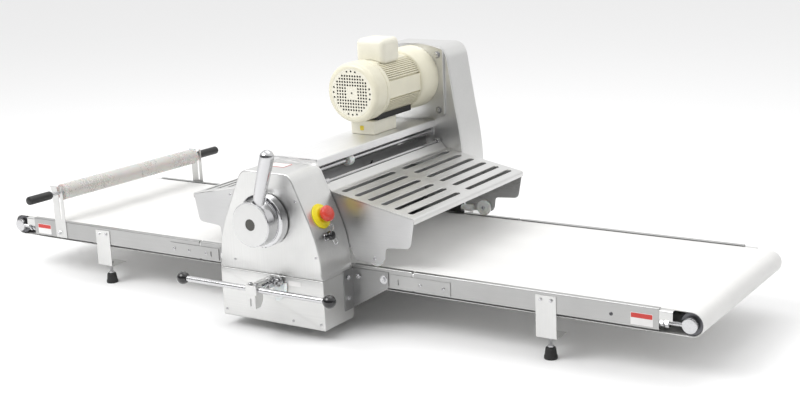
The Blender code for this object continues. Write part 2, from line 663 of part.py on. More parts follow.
def make_stop_and_knob():
    x, outward = flank_point(STOP_Z)
    seat = Vector((x, STOP_Y, STOP_Z)) + outward * FLANK_GAP
    collar = [(0.0098, 0.0065), (0.0195, 0.0065), (0.0290, 0.0030), (0.0300, 0.0018), (0.0300, 0.0),
              (0.0098, 0.0)]
    finish(lathe("stop_collar", collar, seat, outward), "yellow_plastic")
    button = [(0, 0.0310), (0.0115, 0.0305), (0.0172, 0.0280), (0.0190, 0.0235), (0.0184, 0.0150),
              (0.0172, 0.0135), (0.0085, 0.0135), (0.0085, 0.0070), (0, 0.0070)]
    finish(lathe("stop_button", button, seat, outward), "red_plastic")

    x, outward = flank_point(KNOB_Z)
    seat = Vector((x, STOP_Y, KNOB_Z)) + outward * FLANK_GAP
    hub = [(0, 0.0170), (0.0080, 0.0165), (0.0105, 0.0145), (0.0112, 0.0040), (0.0095, 0.0), (0, 0)]
    knob = lathe("wing_knob", hub, seat, outward, 16)
    frame = Matrix.Translation(seat) @ outward.to_track_quat("Z", "Y").to_matrix().to_4x4()
    for turn in (60, 180, 300):
        loop = [(0.0168 + 0.0098 * math.cos(math.radians(a)), 0.0075 * math.sin(math.radians(a)), 0.010)
                for a in range(0, 360, 45)]
        spin = frame @ Matrix.Rotation(math.radians(turn), 4, "Z")
        join(knob, wire_loop("wing_loop", [spin @ Vector(point) for point in loop], 0.0013))
    finish(knob, "polished_steel")


# ---------------------------------------------------------------- motor and drive
def flange_outline():
    """A square plate with rounded corners whose top edge rises to an arch."""
    x, z = FLANGE_CENTRE
    half, corner = FLANGE_HALF, 0.008
    outline = bend((x + half - corner, z - half), (x + half, z - half), (x + half, z - half + corner), 3)
    outline += bend((x + half, z + half - corner), (x + half, z + half), (x + half - corner, z + half), 3)
    outline += bend((x + half - corner, z + half), (x, z + half + 2 * FLANGE_ARCH),
                    (x - half + corner, z + half), 8)[1:-1]
    outline += bend((x - half + corner, z + half), (x - half, z + half), (x - half, z + half - corner), 3)
    outline += bend((x - half, z - half + corner), (x - half, z - half), (x - half + corner, z - half), 3)
    return outline


def make_motor():
    """A flange motor: finned stator with end bell and flange, fan cover, boxes, rotor."""
    body_outline = []
    teeth = 24
    for i in range(teeth):
        for shift, radius in ((-0.28, 0.0640), (-0.20, MOTOR_RADIUS), (0.20, MOTOR_RADIUS), (0.28, 0.0640)):
            a = 2 * math.pi * (i + shift) / teeth
            body_outline.append((MOTOR_X + radius * math.cos(a), MOTOR_Z + radius * math.sin(a)))
    body = plate("motor_body", [body_outline], 0.0315, 0.200)
    bell = [(0, 0.0715), (0.083, 0.0715), (0.082, 0.040), (0.079, 0.014), (0.074, 0.0), (0, 0)]
    join(body, lathe("end_bell", bell, (MOTOR_X, 0.1900, MOTOR_Z), (0, 1, 0), 32),
         plate("motor_flange", [flange_outline()], FLANGE_Y, SIDE_PLATE_INNER_Y - GAP))
    cut(body, rod("stator_bore", 0.0300, (MOTOR_X, 0.020, MOTOR_Z), (MOTOR_X, 0.280, MOTOR_Z), 24))
    finish(body, "cream_paint")

    depth, rounding = 0.056, 0.0165
    outside = [(FAN_COVER_RADIUS - rounding + rounding * math.sin(a), depth - rounding + rounding * math.cos(a))
               for a in (math.radians(18 * i) for i in range(6))]
    inside = [(radius - SKIN * 0.9, height - SKIN) for radius, height in reversed(outside)]
    profile = ([(0, depth)] + outside + [(FAN_COVER_RADIUS, 0), (FAN_COVER_RADIUS - SKIN, 0)]
               + inside + [(0, depth - SKIN)])
    fan_cover = lathe("motor_fan_cover", profile, (MOTOR_X, 0.0305, MOTOR_Z), (0, -1, 0), 32)
    finish(fan_cover, "cream_paint")

    box_low = (MOTOR_X - 0.044, 0.062, 0.560)
    box_high = (MOTOR_X + 0.042, 0.142, 0.642)
    terminal = block("motor_terminal_box", box_low, box_high, 0.010)
    cut(terminal, rod("stator_clearance", MOTOR_RADIUS + 0.0008, (MOTOR_X, 0.0, MOTOR_Z),
                      (MOTOR_X, 0.2, MOTOR_Z), 48))
    finish(terminal, "cream_paint")
    finish(block("motor_support_box", (-0.036, 0.024, BRIDGE_TOP_Z + GAP), (0.036, 0.128, 0.4400)),
           "cream_paint")

    shaft = 0.009
    profile = [(0, PULLEY_Y[1]), (MOTOR_PULLEY_RADIUS, PULLEY_Y[1]), (MOTOR_PULLEY_RADIUS, PULLEY_Y[0]),
               (shaft, PULLEY_Y[0]), (shaft, 0.220), (0.0285, 0.220), (0.0285, 0.050), (shaft, 0.050),
               (shaft, 0.024), (0.060, 0.024), (0.060, 0.010), (0, 0.010)]
    finish(lathe("motor_rotor", profile, (MOTOR_X, 0, MOTOR_Z), (0, 1, 0)), "machined_steel")


def make_belt_drive():
    """The pulley on the lower roller's shaft and the belt that comes down from the motor."""
    width = PULLEY_Y[1] - PULLEY_Y[0]
    bore = SHAFT_RADIUS + GAP
    pulley = [(bore, width), (PRESS_PULLEY_RADIUS, width), (PRESS_PULLEY_RADIUS, 0), (bore, 0)]
    finish(lathe("drive_pulley", pulley, (0, PULLEY_Y[0], LOWER_PRESS_Z), (0, 1, 0), 32), "machined_steel")
    centres = ((0, LOWER_PRESS_Z), (MOTOR_X, MOTOR_Z))
    inner = loop_round(centres, (PRESS_PULLEY_RADIUS + 0.0010, MOTOR_PULLEY_RADIUS + 0.0010), 14)
    outer = loop_round(centres, (PRESS_PULLEY_RADIUS + 0.0060, MOTOR_PULLEY_RADIUS + 0.0060), 14)
    finish(plate("drive_belt", [outer, inner], PULLEY_Y[0] + 0.002, PULLEY_Y[1] - 0.002), "black_rubber")


# ---------------------------------------------------------------- conveyor tables
def make_table(side, label):
    """One conveyor table: welded frame, belt, end roller and tensioner; side is +1 on the right."""
    low_z = RAIL_TOP_Z - RAIL_HEIGHT
    inner_y = RAIL_OUTER_Y - SHEET
    lip_y = RAIL_OUTER_Y - RAIL_LIP
    start, end = sorted((side * RAIL_START_X, side * RAIL_END_X))
    bed_top = BELT_AXIS_Z + BELT_INNER_RADIUS - GAP
    bed_section = [(-inner_y - 0.001, bed_top), (-inner_y - 0.001, 0.132), (-inner_y + SKIN, 0.132),
                   (-inner_y + SKIN, bed_top - SKIN), (inner_y - SKIN, bed_top - SKIN),
                   (inner_y - SKIN, 0.132), (inner_y + 0.001, 0.132), (inner_y + 0.001, bed_top)]
    bed_start, bed_end = sorted((side * 0.098, side * 0.950))
    frame = plate("table_frame_" + label, [bed_section], bed_start, bed_end, "YZ")
    for y in (-1, 1):
        channel = [(RAIL_OUTER_Y, low_z), (RAIL_OUTER_Y, RAIL_TOP_Z), (lip_y, RAIL_TOP_Z),
                   (lip_y, RAIL_TOP_Z - SHEET), (inner_y, RAIL_TOP_Z - SHEET), (inner_y, low_z + SHEET),
                   (lip_y, low_z + SHEET), (lip_y, low_z)]
        rail = plate("rail", [[(y * across, up) for across, up in channel]], start, end, "YZ")
        join(frame, rail)
        joint = sorted((side * (RAIL_JOINT_X - 0.002), side * (RAIL_JOINT_X + 0.002)))
        web = sorted((y * (inner_y - 0.020), y * (RAIL_OUTER_Y + 0.010)))
        cut(frame, block("rail_joint", (joint[0], web[0], RAIL_TOP_Z - 0.0035),
                         (joint[1], web[1], RAIL_TOP_Z + 0.01)),
            block("rail_joint_low", (joint[0], web[0], low_z - 0.01), (joint[1], web[1], low_z + 0.004)))
        strap_x = sorted((side * 0.258, side * 0.420))
        strap_y = sorted((y * (RAIL_OUTER_Y - 0.001), y * (RAIL_OUTER_Y + SHEET)))
        join(frame, block("splice_strap", (strap_x[0], strap_y[0], 0.1140), (strap_x[1], strap_y[1], 0.1465)))
    axis_x = side * END_ROLLER_X
    shaft = [(0, 0.262), (0.0160, 0.262), (0.0170, 0.261), (0.0170, 0.2520), (0.010, 0.2520),
             (0.010, -0.2520), (0.0170, -0.2520), (0.0170, -0.261), (0.0160, -0.262), (0, -0.262)]
    join(frame, lathe("tension_shaft", shaft, (axis_x, 0, BELT_AXIS_Z), (0, 1, 0), 20))
    for y in (-0.2570, 0.2570):
        join(frame, rod("tension_screw", 0.0048, (side * 0.900, y, BELT_AXIS_Z),
                        (axis_x - side * 0.005, y, BELT_AXIS_Z), 16),
             rod("tension_nut", 0.0100, (side * 0.9215, y, BELT_AXIS_Z),
                 (side * 0.9300, y, BELT_AXIS_Z), 6))
    finish(frame, "brushed_steel")

    centres = ((DRIVE_ROLLER_X, BELT_AXIS_Z), (END_ROLLER_X, BELT_AXIS_Z))
    outer = flip(loop_round(centres, (BELT_OUTER_RADIUS, BELT_OUTER_RADIUS)), side)
    inner = flip(loop_round(centres, (BELT_INNER_RADIUS, BELT_INNER_RADIUS)), side)
    finish(plate("belt_" + label, [outer, inner], -BELT_HALF, BELT_HALF), "white_belt")

    half = BELT_HALF - 0.003
    tube = [(0.0108, half), (ROLLER_RADIUS, half), (ROLLER_RADIUS, -half), (0.0108, -half)]
    finish(lathe("end_roller_" + label, tube, (axis_x, 0, BELT_AXIS_Z), (0, 1, 0)), "machined_steel")


def make_leg_bracket(side, end, name):
    """An angle under the rail whose foot flange turns inwards."""
    outer = BRACKET_Y + SHEET
    angle = [(outer, LEG_FLANGE_Z), (outer, 0.150), (BRACKET_Y, 0.150), (BRACKET_Y, LEG_FLANGE_Z + SHEET),
             (0.212, LEG_FLANGE_Z + SHEET), (0.212, LEG_FLANGE_Z)]
    x = side * LEG_X
    bracket = plate(name, [[(end * across, up) for across, up in angle]],
                    x - LEG_BRACKET_WIDTH / 2, x + LEG_BRACKET_WIDTH / 2, "YZ")
    cut(bracket, rod("stem_hole", 0.0046, (x, end * FOOT_Y, 0.040), (x, end * FOOT_Y, 0.070), 20))
    finish(bracket, "brushed_steel")


def make_levelling_foot(side, end, name):
    """Rubber cone, nut, threaded stem and lock nut, turned as one piece."""
    profile = [(0, 0.068), (0.004, 0.068), (0.004, 0.0590), (0.0075, 0.0590), (0.0075, 0.0546),
               (0.004, 0.0546), (0.004, 0.0310), (0.0085, 0.0310), (0.0085, 0.0265), (0.0115, 0.0265),
               (0.0153, 0.0040), (0.0148, 0.0), (0, 0)]
    finish(lathe(name, profile, (side * LEG_X, end * FOOT_Y, 0), (0, 0, 1), 16), "black_rubber")


def make_head_bracket(side, end, name):
    """The angle that carries a table on the flank of the head."""
    flank = HEAD_HALF_WIDTH + GAP
    outline = [(flank, 0.052), (flank, 0.150), (0.2535, 0.150), (0.2535, 0.122)]
    outline += bend((0.2535, 0.116), (0.2520, 0.110), (0.2440, 0.1055), 3)
    low, high = sorted((end * BRACKET_Y, end * (BRACKET_Y + SHEET)))
    bracket = plate(name, [flip(outline, side)], low, high)
    flange_x = sorted((side * flank, side * (flank + SHEET)))
    flange_y = sorted((end * (BRACKET_Y + SHEET / 2), end * 0.3050))
    join(bracket, block("flange", (flange_x[0], flange_y[0], 0.052), (flange_x[1], flange_y[1], 0.150)))
    finish(bracket, "brushed_steel")


def make_pin_fork(x, end, name):
    """A fork bolted to the left table's rail; its slot is too narrow for the pin's rod."""
    seat = 0.0050
    mouth = arc((x, PIN_Z), seat, 0, -55, 3)
    outline = [(x + 0.0155, 0.112), (x + 0.0125, 0.256), (x + 0.0065, 0.256)] + mouth
    outline += [(x + 0.0030, 0.1660), (x + 0.0015, 0.1625), (x - 0.0015, 0.1625), (x - 0.0030, 0.1660)]
    outline += [(2 * x - across, up) for across, up in reversed(mouth)]
    outline += [(x - 0.0068, 0.256), (x - 0.0330, 0.256), (x - 0.0260, 0.238),
                (x - 0.0245, 0.112)]
    low, high = sorted((end * BRACKET_Y, end * (BRACKET_Y + SHEET)))
    finish(plate(name, [outline], low, high), "brushed_steel")


def make_rolling_pin():
    """The dough pin laid on its two forks: a rod with grips, and a tube that turns on it."""
    front_x, rear_x = PIN_FORK_X
    middle = ((front_x + rear_x) / 2, 0, PIN_Z)
    along = Vector((rear_x - front_x, 2 * BRACKET_Y + SHEET, 0)).normalized()
    half = [(0, 0.360), (0.0085, 0.360), (0.0115, 0.356), (0.0115, 0.2855), (0.0085, 0.2820),
            (PIN_ROD_RADIUS, 0.2820)]
    profile = half + [(radius, -height) for radius, height in reversed(half)]
    slid = Vector(middle) - along * PIN_ROD_SLIDE
    finish(lathe("pin_axle", profile, slid, along, 20), "black_plastic")
    bore = PIN_ROD_RADIUS + 0.0006
    tube = [(bore, PIN_HALF_LENGTH), (PIN_RADIUS, PIN_HALF_LENGTH), (PIN_RADIUS, -PIN_HALF_LENGTH),
            (bore, -PIN_HALF_LENGTH)]
    finish(lathe("pin_tube", tube, Vector(middle) - along * 0.004, along), "clear_plastic")


# ---------------------------------------------------------------- assembly
SIDES = ((-1, "left"), (1, "right"))
ENDS = ((-1, "front"), (1, "rear"))

make_base()
make_side_plates()
make_covers()
make_bridge()
make_press_rollers()
make_carriage()
make_lower_scrapers()
make_gap_control()
make_shift_control()
make_stop_and_knob()
make_motor()
make_belt_drive()
for side, label in SIDES:
    make_guard(side, "guard_" + label)
    make_guard_fittings(side, label)
    make_table(side, label)
    for end, place in ENDS:
        make_leg_bracket(side, end, "leg_bracket_%s_%s" % (label, place))
        make_levelling_foot(side, end, "levelling_foot_%s_%s" % (label, place))
        make_head_bracket(side, end, "head_bracket_%s_%s" % (label, place))
for (end, place), x in zip(ENDS, PIN_FORK_X):
    make_pin_fork(x, end, "pin_fork_" + place)
make_rolling_pin()
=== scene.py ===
"""Looks of the dough sheeter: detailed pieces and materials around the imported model.

Lengths are in metres.  Pieces are laid out in a machine frame whose Y = 0 is the centre
line of the belts; MID is where that line lies in the row frame.
"""
import json
import math

import bmesh
import bpy
from mathutils import Matrix, Vector


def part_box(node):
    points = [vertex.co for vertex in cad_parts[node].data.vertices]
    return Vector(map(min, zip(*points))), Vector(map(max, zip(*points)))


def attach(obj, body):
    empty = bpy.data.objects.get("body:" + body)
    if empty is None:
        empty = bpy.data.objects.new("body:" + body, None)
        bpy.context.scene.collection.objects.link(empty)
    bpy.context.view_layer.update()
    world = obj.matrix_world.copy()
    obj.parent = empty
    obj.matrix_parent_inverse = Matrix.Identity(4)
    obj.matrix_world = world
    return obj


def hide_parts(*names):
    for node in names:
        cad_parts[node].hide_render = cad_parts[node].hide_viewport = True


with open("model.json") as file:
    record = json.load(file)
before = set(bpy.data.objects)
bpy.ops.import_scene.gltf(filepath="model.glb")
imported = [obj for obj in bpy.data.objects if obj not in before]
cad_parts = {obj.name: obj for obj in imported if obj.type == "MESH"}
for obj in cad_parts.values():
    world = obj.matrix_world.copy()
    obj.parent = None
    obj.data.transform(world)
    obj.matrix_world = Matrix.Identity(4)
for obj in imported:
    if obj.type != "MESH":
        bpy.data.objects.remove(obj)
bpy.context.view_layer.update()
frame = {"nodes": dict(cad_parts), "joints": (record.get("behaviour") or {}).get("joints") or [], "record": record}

BELT_LOW, BELT_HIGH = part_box("belt_right")
MID = (BELT_LOW.y + BELT_HIGH.y) / 2
SLOTS = {entry["node"]: entry["material_slot"] for entry in frame["record"]["subparts"]}
BODY_OF = {node: body for body, nodes in frame["record"]["behaviour"]["bodies"].items() for node in nodes}


def box_of(node):
    """A node's lowest and highest corners in the machine frame."""
    low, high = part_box(node)
    shift = Vector((0, MID, 0))
    return low - shift, high - shift


# ---------------------------------------------------------------- camera, light and floor
CAMERA_PLACE = (1.9817, -2.8347, 1.0898)
CAMERA_TURN = (33.385, 13.070, 2.52)        # azimuth, elevation and roll, in degrees
LENS = 62.63
WORLD_STRENGTH = 1.02
SHIFT = (0.0037, -0.0260)


def make_camera():
    azimuth, elevation, roll = (math.radians(a) for a in CAMERA_TURN)
    back = Vector((math.sin(azimuth) * math.cos(elevation), -math.cos(azimuth) * math.cos(elevation),
                   math.sin(elevation)))
    right = (-back).cross(Vector((0, 0, 1))).normalized()
    up = right.cross(-back)
    across = math.cos(roll) * right - math.sin(roll) * up
    upward = math.sin(roll) * right + math.cos(roll) * up
    data = bpy.data.cameras.new("camera")
    data.sensor_width = 36
    data.lens = LENS
    data.shift_x, data.shift_y = SHIFT
    camera = bpy.data.objects.new("camera", data)
    bpy.context.scene.collection.objects.link(camera)
    place = Matrix((across, upward, back)).transposed().to_4x4()
    place.translation = Vector(CAMERA_PLACE) + Vector((0, MID, 0))
    camera.matrix_world = place
    bpy.context.scene.camera = camera


def make_world():
    """A studio that is white above and behind and dark low down on the operator's side."""
    world = bpy.data.worlds.new("studio")
    bpy.context.scene.world = world
    world.use_nodes = True
    tree = world.node_tree
    background = tree.nodes["Background"]
    coordinate = tree.nodes.new("ShaderNodeTexCoord")
    lean = tree.nodes.new("ShaderNodeVectorMath")
    lean.operation = "DOT_PRODUCT"
    lean.inputs[1].default_value = (-0.10, 0.40, 1.0)
    tree.links.new(coordinate.outputs["Generated"], lean.inputs[0])
    ramp = tree.nodes.new("ShaderNodeValToRGB")
    ramp.color_ramp.elements[0].position = 0.10
    ramp.color_ramp.elements[0].color = (0.10, 0.10, 0.105, 1)
    ramp.color_ramp.elements[1].position = 0.48
    ramp.color_ramp.elements[1].color = (1, 1, 1, 1)
    tree.links.new(lean.outputs["Value"], ramp.inputs[0])
    tree.links.new(ramp.outputs[0], background.inputs["Color"])
    background.inputs["Strength"].default_value = WORLD_STRENGTH


def make_light(name, place, aim, size, power):
    data = bpy.data.lights.new(name, "AREA")
    data.shape = "RECTANGLE"
    data.size, data.size_y = size
    data.energy = power
    light = bpy.data.objects.new(name, data)
    bpy.context.scene.collection.objects.link(light)
    light.location = place
    light.rotation_mode = "QUATERNION"
    light.rotation_quaternion = (Vector(aim) - Vector(place)).to_track_quat("-Z", "Y")


def make_floor():
    bm = bmesh.new()
    bmesh.ops.create_grid(bm, x_segments=1, y_segments=1, size=40)
    mesh = bpy.data.meshes.new("floor")
    bm.to_mesh(mesh)
    bm.free()
    floor = bpy.data.objects.new("floor", mesh)
    bpy.context.scene.collection.objects.link(floor)
    material = bpy.data.materials.new("floor_paper")
    material.use_nodes = True
    shader = material.node_tree.nodes["Principled BSDF"]
    shader.inputs["Base Color"].default_value = (0.93, 0.93, 0.93, 1)
    shader.inputs["Roughness"].default_value = 0.9
    mesh.materials.append(material)


# ---------------------------------------------------------------- materials
class Shader:
    """A Principled material with a few short ways to add procedural detail."""

    def __init__(self, name, colour, roughness, metallic=0.0, **values):
        self.material = bpy.data.materials.new(name)
        self.material.use_nodes = True
        self.tree = self.material.node_tree
        self.bsdf = self.tree.nodes["Principled BSDF"]
        self.set("Base Color", (*colour, 1))
        self.set("Roughness", roughness)
        self.set("Metallic", metallic)
        for socket, value in values.items():
            self.set(socket.replace("_", " "), value)

    def set(self, socket, value):
        self.bsdf.inputs[socket].default_value = value

    def node(self, kind, **inputs):
        node = self.tree.nodes.new(kind)
        for socket, value in inputs.items():
            node.inputs[socket].default_value = value
        return node

    def link(self, source, target):
        self.tree.links.new(source, target)

    def noise(self, scale, detail=3.0, roughness=0.5, distortion=0.0):
        """Noise whose frequency differs along X, Y and Z, read in the object's own coordinates."""
        coordinate = self.node("ShaderNodeTexCoord")
        mapping = self.node("ShaderNodeMapping", Scale=scale)
        noise = self.node("ShaderNodeTexNoise", Scale=1.0, Detail=detail, Roughness=roughness,
                          Distortion=distortion)
        self.link(coordinate.outputs["Object"], mapping.inputs["Vector"])
        self.link(mapping.outputs["Vector"], noise.inputs["Vector"])
        return noise.outputs["Fac"]

    def spread(self, factor, low, high, start=0.3, end=0.7):
        node = self.node("ShaderNodeMapRange")
        node.inputs["From Min"].default_value = start
        node.inputs["From Max"].default_value = end
        node.inputs["To Min"].default_value = low
        node.inputs["To Max"].default_value = high
        self.link(factor, node.inputs["Value"])
        return node.outputs["Result"]

    def blend(self, factor, first, second):
        """Colours or sockets mixed by a factor."""
        node = self.tree.nodes.new("ShaderNodeMix")
        node.data_type = "RGBA"
        self.link(factor, node.inputs["Factor"])
        for socket, value in (("A", first), ("B", second)):
            if isinstance(value, tuple):
                node.inputs[socket].default_value = (*value, 1)
            else:
                self.link(value, node.inputs[socket])
        return node.outputs["Result"]

    def bump(self, height, distance, strength=1.0):
        node = self.node("ShaderNodeBump", Strength=strength, Distance=distance)
        self.link(height, node.inputs["Height"])
        previous = self.bsdf.inputs["Normal"]
        if previous.is_linked:
            self.link(previous.links[0].from_socket, node.inputs["Normal"])
        self.link(node.outputs["Normal"], previous)

    def add(self, first, second):
        node = self.node("ShaderNodeMath")
        node.operation = "ADD"
        self.link(first, node.inputs[0])
        self.link(second, node.inputs[1])
        return node.outputs[0]


def scaled(colour, factor):
    return tuple(min(1.0, c * factor) for c in colour)


GRAIN = {"X": (7, 850, 850), "Y": (850, 7, 850), "Z": (850, 850, 7)}


def brushed(name, axis, colour=(0.72, 0.72, 0.71), roughness=0.36, depth=0.00004, clouds=0.10):
    """Stainless sheet with its grain along one axis, soft smears and a little uneven polish."""
    shader = Shader(name, colour, roughness, 1.0)
    grain = shader.noise(GRAIN[axis], 4.0, 0.6)
    smear = shader.noise((6, 6, 6), 4.0, 0.55, 0.6)
    tone = shader.blend(shader.spread(grain, 0, 1), scaled(colour, 0.95), scaled(colour, 1.04))
    tone = shader.blend(shader.spread(smear, 0, 0.25), tone, scaled(colour, 0.80))
    shader.link(tone, shader.bsdf.inputs["Base Color"])
    rough = shader.add(shader.spread(grain, -0.05, 0.07),
                       shader.spread(smear, roughness - clouds / 2, roughness + clouds / 2))
    shader.link(rough, shader.bsdf.inputs["Roughness"])
    shader.bump(grain, depth, 0.5)
    shader.bump(shader.noise((9, 9, 9), 2.0), 0.0006, 0.25)
    return shader.material


def turned(name, colour, roughness, metallic=1.0):
    """Lathe-turned or ground metal: fine rings and a few smears."""
    shader = Shader(name, colour, roughness, metallic)
    fine = shader.noise((500, 500, 500), 2.0)
    smear = shader.noise((14, 14, 14), 3.0)
    shader.link(shader.add(shader.spread(fine, -0.03, 0.03),
                           shader.spread(smear, roughness - 0.04, roughness + 0.06)),
                shader.bsdf.inputs["Roughness"])
    tone = shader.blend(shader.spread(smear, 0, 1), scaled(colour, 0.92), scaled(colour, 1.04))
    shader.link(tone, shader.bsdf.inputs["Base Color"])
    shader.bump(fine, 0.00001, 0.3)
    return shader.material


def moulded(name, colour, roughness, grain=700.0, depth=0.00003, **values):
    """Paint, plastic or rubber: fine texture, faint colour drift and scuffed shine."""
    shader = Shader(name, colour, roughness, 0.0, **values)
    fine = shader.noise((grain, grain, grain), 3.0)
    drift = shader.noise((11, 11, 11), 4.0, 0.6)
    tone = shader.blend(shader.spread(drift, 0, 1), scaled(colour, 0.93), scaled(colour, 1.05))
    shader.link(tone, shader.bsdf.inputs["Base Color"])
    shader.link(shader.add(shader.spread(fine, -0.04, 0.04),
                           shader.spread(drift, roughness - 0.05, roughness + 0.08)),
                shader.bsdf.inputs["Roughness"])
    shader.bump(fine, depth, 0.6)
    return shader.material


def belt_cloth(name):
    """White coated belt: a fine square weave under the coating, with faint flour marks along it."""
    colour = (0.82, 0.815, 0.80)
    shader = Shader(name, colour, 0.62, 0.0, Sheen_Weight=0.15)
    coordinate = shader.node("ShaderNodeTexCoord")
    waves = []
    for direction in ("X", "Y"):
        wave = shader.node("ShaderNodeTexWave", Scale=190.0)
        wave.bands_direction = direction
        shader.link(coordinate.outputs["Object"], wave.inputs["Vector"])
        waves.append(wave.outputs["Fac"])
    weave = shader.add(*waves)
    marks = shader.noise((1.5, 9, 9), 5.0, 0.6)
    tone = shader.blend(shader.spread(marks, 0, 1), scaled(colour, 0.955), scaled(colour, 1.02))
    shader.link(tone, shader.bsdf.inputs["Base Color"])
    shader.link(shader.spread(marks, 0.54, 0.70), shader.bsdf.inputs["Roughness"])
    shader.bump(weave, 0.00006, 0.6)
    shader.bump(shader.noise((3, 6, 6), 2.0), 0.002, 0.15)
    return shader.material


STEEL_X = brushed("stainless_grain_x", "X")
STEEL_Y = brushed("stainless_grain_y", "Y")
STEEL_Z = brushed("stainless_grain_z", "Z")
BRIDGE_STEEL = brushed("stainless_bridge", "Y", (0.90, 0.90, 0.90), 0.45)
RAIL_STEEL = brushed("stainless_rail", "X", (0.47, 0.47, 0.465), 0.36)
MIRROR_X = brushed("stainless_polished", "X", (0.62, 0.62, 0.62), 0.37, 0.00001, 0.20)
# Painted shade: darker copies of the stainless steel, for parts that sit in shadow inside the head, under the tables
# and behind the motor plate.
SHADE_X = brushed("stainless_painted_shade_x", "X", (0.36, 0.36, 0.36), 0.36)
SHADE_Y = brushed("stainless_painted_shade_y", "Y", (0.26, 0.26, 0.265), 0.34)
SATIN = turned("satin_steel", (0.66, 0.66, 0.655), 0.33)
CHROME = turned("chrome", (0.60, 0.60, 0.61), 0.13)
TURNED = turned("turned_steel", (0.62, 0.62, 0.63), 0.24)
GROUND = turned("ground_steel", (0.42, 0.42, 0.43), 0.34)
DARK_STEEL = turned("dark_steel", (0.16, 0.16, 0.17), 0.42)
CREAM = moulded("cream_enamel", (0.80, 0.765, 0.61), 0.36, 420.0, 0.00005, Coat_Weight=0.25, Coat_Roughness=0.15)
CREAM_PLASTIC = moulded("cream_plastic", (0.84, 0.815, 0.70), 0.42, 600.0)
BELT = belt_cloth("belt_weave")
NYLON = moulded("white_nylon", (0.86, 0.86, 0.83), 0.38, 500.0, 0.00002, Subsurface_Weight=0.15)
BLACK = moulded("black_phenolic", (0.012, 0.012, 0.013), 0.16, 300.0, 0.00001, Coat_Weight=0.5)
RUBBER = moulded("black_rubber", (0.022, 0.022, 0.022), 0.62, 900.0, 0.00008)
GRIP = moulded("black_grip", (0.02, 0.02, 0.02), 0.38, 900.0, 0.00006)
YELLOW = moulded("yellow_plastic", (0.86, 0.74, 0.015), 0.32)
RED = moulded("red_plastic", (0.66, 0.055, 0.035), 0.30, 500.0, 0.00002, Coat_Weight=0.3)
LABEL_WHITE = moulded("label_white", (0.85, 0.84, 0.83), 0.35)
LABEL_RED = moulded("label_red", (0.62, 0.05, 0.04), 0.35)
LABEL_YELLOW = moulded("label_yellow", (0.85, 0.66, 0.03), 0.35)
CAP_GREY = moulded("cap_grey", (0.07, 0.068, 0.06), 0.5)
DARK = moulded("dark_gap", (0.015, 0.015, 0.015), 0.7)
TUBE = moulded("pin_plastic", (0.66, 0.65, 0.62), 0.28, 260.0, 0.00003, Subsurface_Weight=0.3,
               Transmission_Weight=0.25, Coat_Weight=0.4)


# ---------------------------------------------------------------- shape tools
def shade(obj, sharp=38):
    obj.data.shade_smooth()
    obj.data.set_sharp_from_angle(angle=math.radians(sharp))
    normals = obj.modifiers.new("normals", "WEIGHTED_NORMAL")
    normals.keep_sharp = True
    normals.weight = 80


def from_bmesh(name, bm):
    bmesh.ops.recalc_face_normals(bm, faces=bm.faces[:])
    mesh = bpy.data.meshes.new(name)
    bm.to_mesh(mesh)
    bm.free()
    obj = bpy.data.objects.new(name, mesh)
    bpy.context.scene.collection.objects.link(obj)
    return obj


def evaluated_mesh(obj):
    bpy.context.view_layer.update()
    return bpy.data.meshes.new_from_object(obj.evaluated_get(bpy.context.evaluated_depsgraph_get()))


def settle(obj):
    """Applies the modifiers, keeping the object."""
    mesh = evaluated_mesh(obj)
    old = obj.data
    obj.modifiers.clear()
    obj.data = mesh
    bpy.data.meshes.remove(old)
    return obj


def boolean(obj, operation, tools):
    for tool in tools:
        step = obj.modifiers.new("cut", "BOOLEAN")
        step.operation = operation
        step.solver = "EXACT"
        step.object = tool
    settle(obj)
    for tool in tools:
        bpy.data.objects.remove(tool)
    return obj


def cut(obj, *tools):
    return boolean(obj, "DIFFERENCE", tools)


def join(obj, *tools):
    return boolean(obj, "UNION", tools)


def merge(name, *objects):
    """One object from several that lie beside each other."""
    bm = bmesh.new()
    for obj in objects:
        mesh = evaluated_mesh(obj)
        mesh.transform(obj.matrix_world)
        bm.from_mesh(mesh)
        bpy.data.meshes.remove(mesh)
        bpy.data.objects.remove(obj)
    mesh = bpy.data.meshes.new(name)
    bm.to_mesh(mesh)
    bm.free()
    obj = bpy.data.objects.new(name, mesh)
    bpy.context.scene.collection.objects.link(obj)
    return obj


PLANES = {                  # outline axes and thickness axis, as columns
    "XZ": Matrix(((1, 0, 0), (0, 0, -1), (0, 1, 0))),
    "YZ": Matrix(((0, 0, 1), (1, 0, 0), (0, 1, 0))),
    "XY": Matrix(((1, 0, 0), (0, 1, 0), (0, 0, 1))),
}
ALONG = {"XZ": 1, "YZ": 0, "XY": 2}


def plate(name, outlines, low, high, plane="XZ", edge=0.0004):
    """Flat outlines, the inner ones holes, with a thickness from low to high and rounded edges."""
    curve = bpy.data.curves.new(name, "CURVE")
    curve.dimensions = "2D"
    curve.fill_mode = "BOTH"
    curve.extrude = (high - low) / 2 - edge
    curve.bevel_depth = edge
    curve.bevel_resolution = 1
    curve.offset = -edge
    for outline in outlines:
        spline = curve.splines.new("POLY")
        spline.points.add(len(outline) - 1)
        for point, (across, up) in zip(spline.points, outline):
            point.co = (across, up, 0, 1)
        spline.use_cyclic_u = True
    guide = bpy.data.objects.new(name + "_outline", curve)
    bpy.context.scene.collection.objects.link(guide)
    mesh = evaluated_mesh(guide)
    bpy.data.objects.remove(guide)
    bm = bmesh.new()
    bm.from_mesh(mesh)
    bpy.data.meshes.remove(mesh)
    bmesh.ops.remove_doubles(bm, verts=bm.verts, dist=1e-6)
    shift = Vector((0, 0, 0))
    shift[ALONG[plane]] = (high + low) / 2
    bmesh.ops.transform(bm, matrix=Matrix.Translation(shift) @ PLANES[plane].to_4x4(), verts=bm.verts)
    return from_bmesh(name, bm)


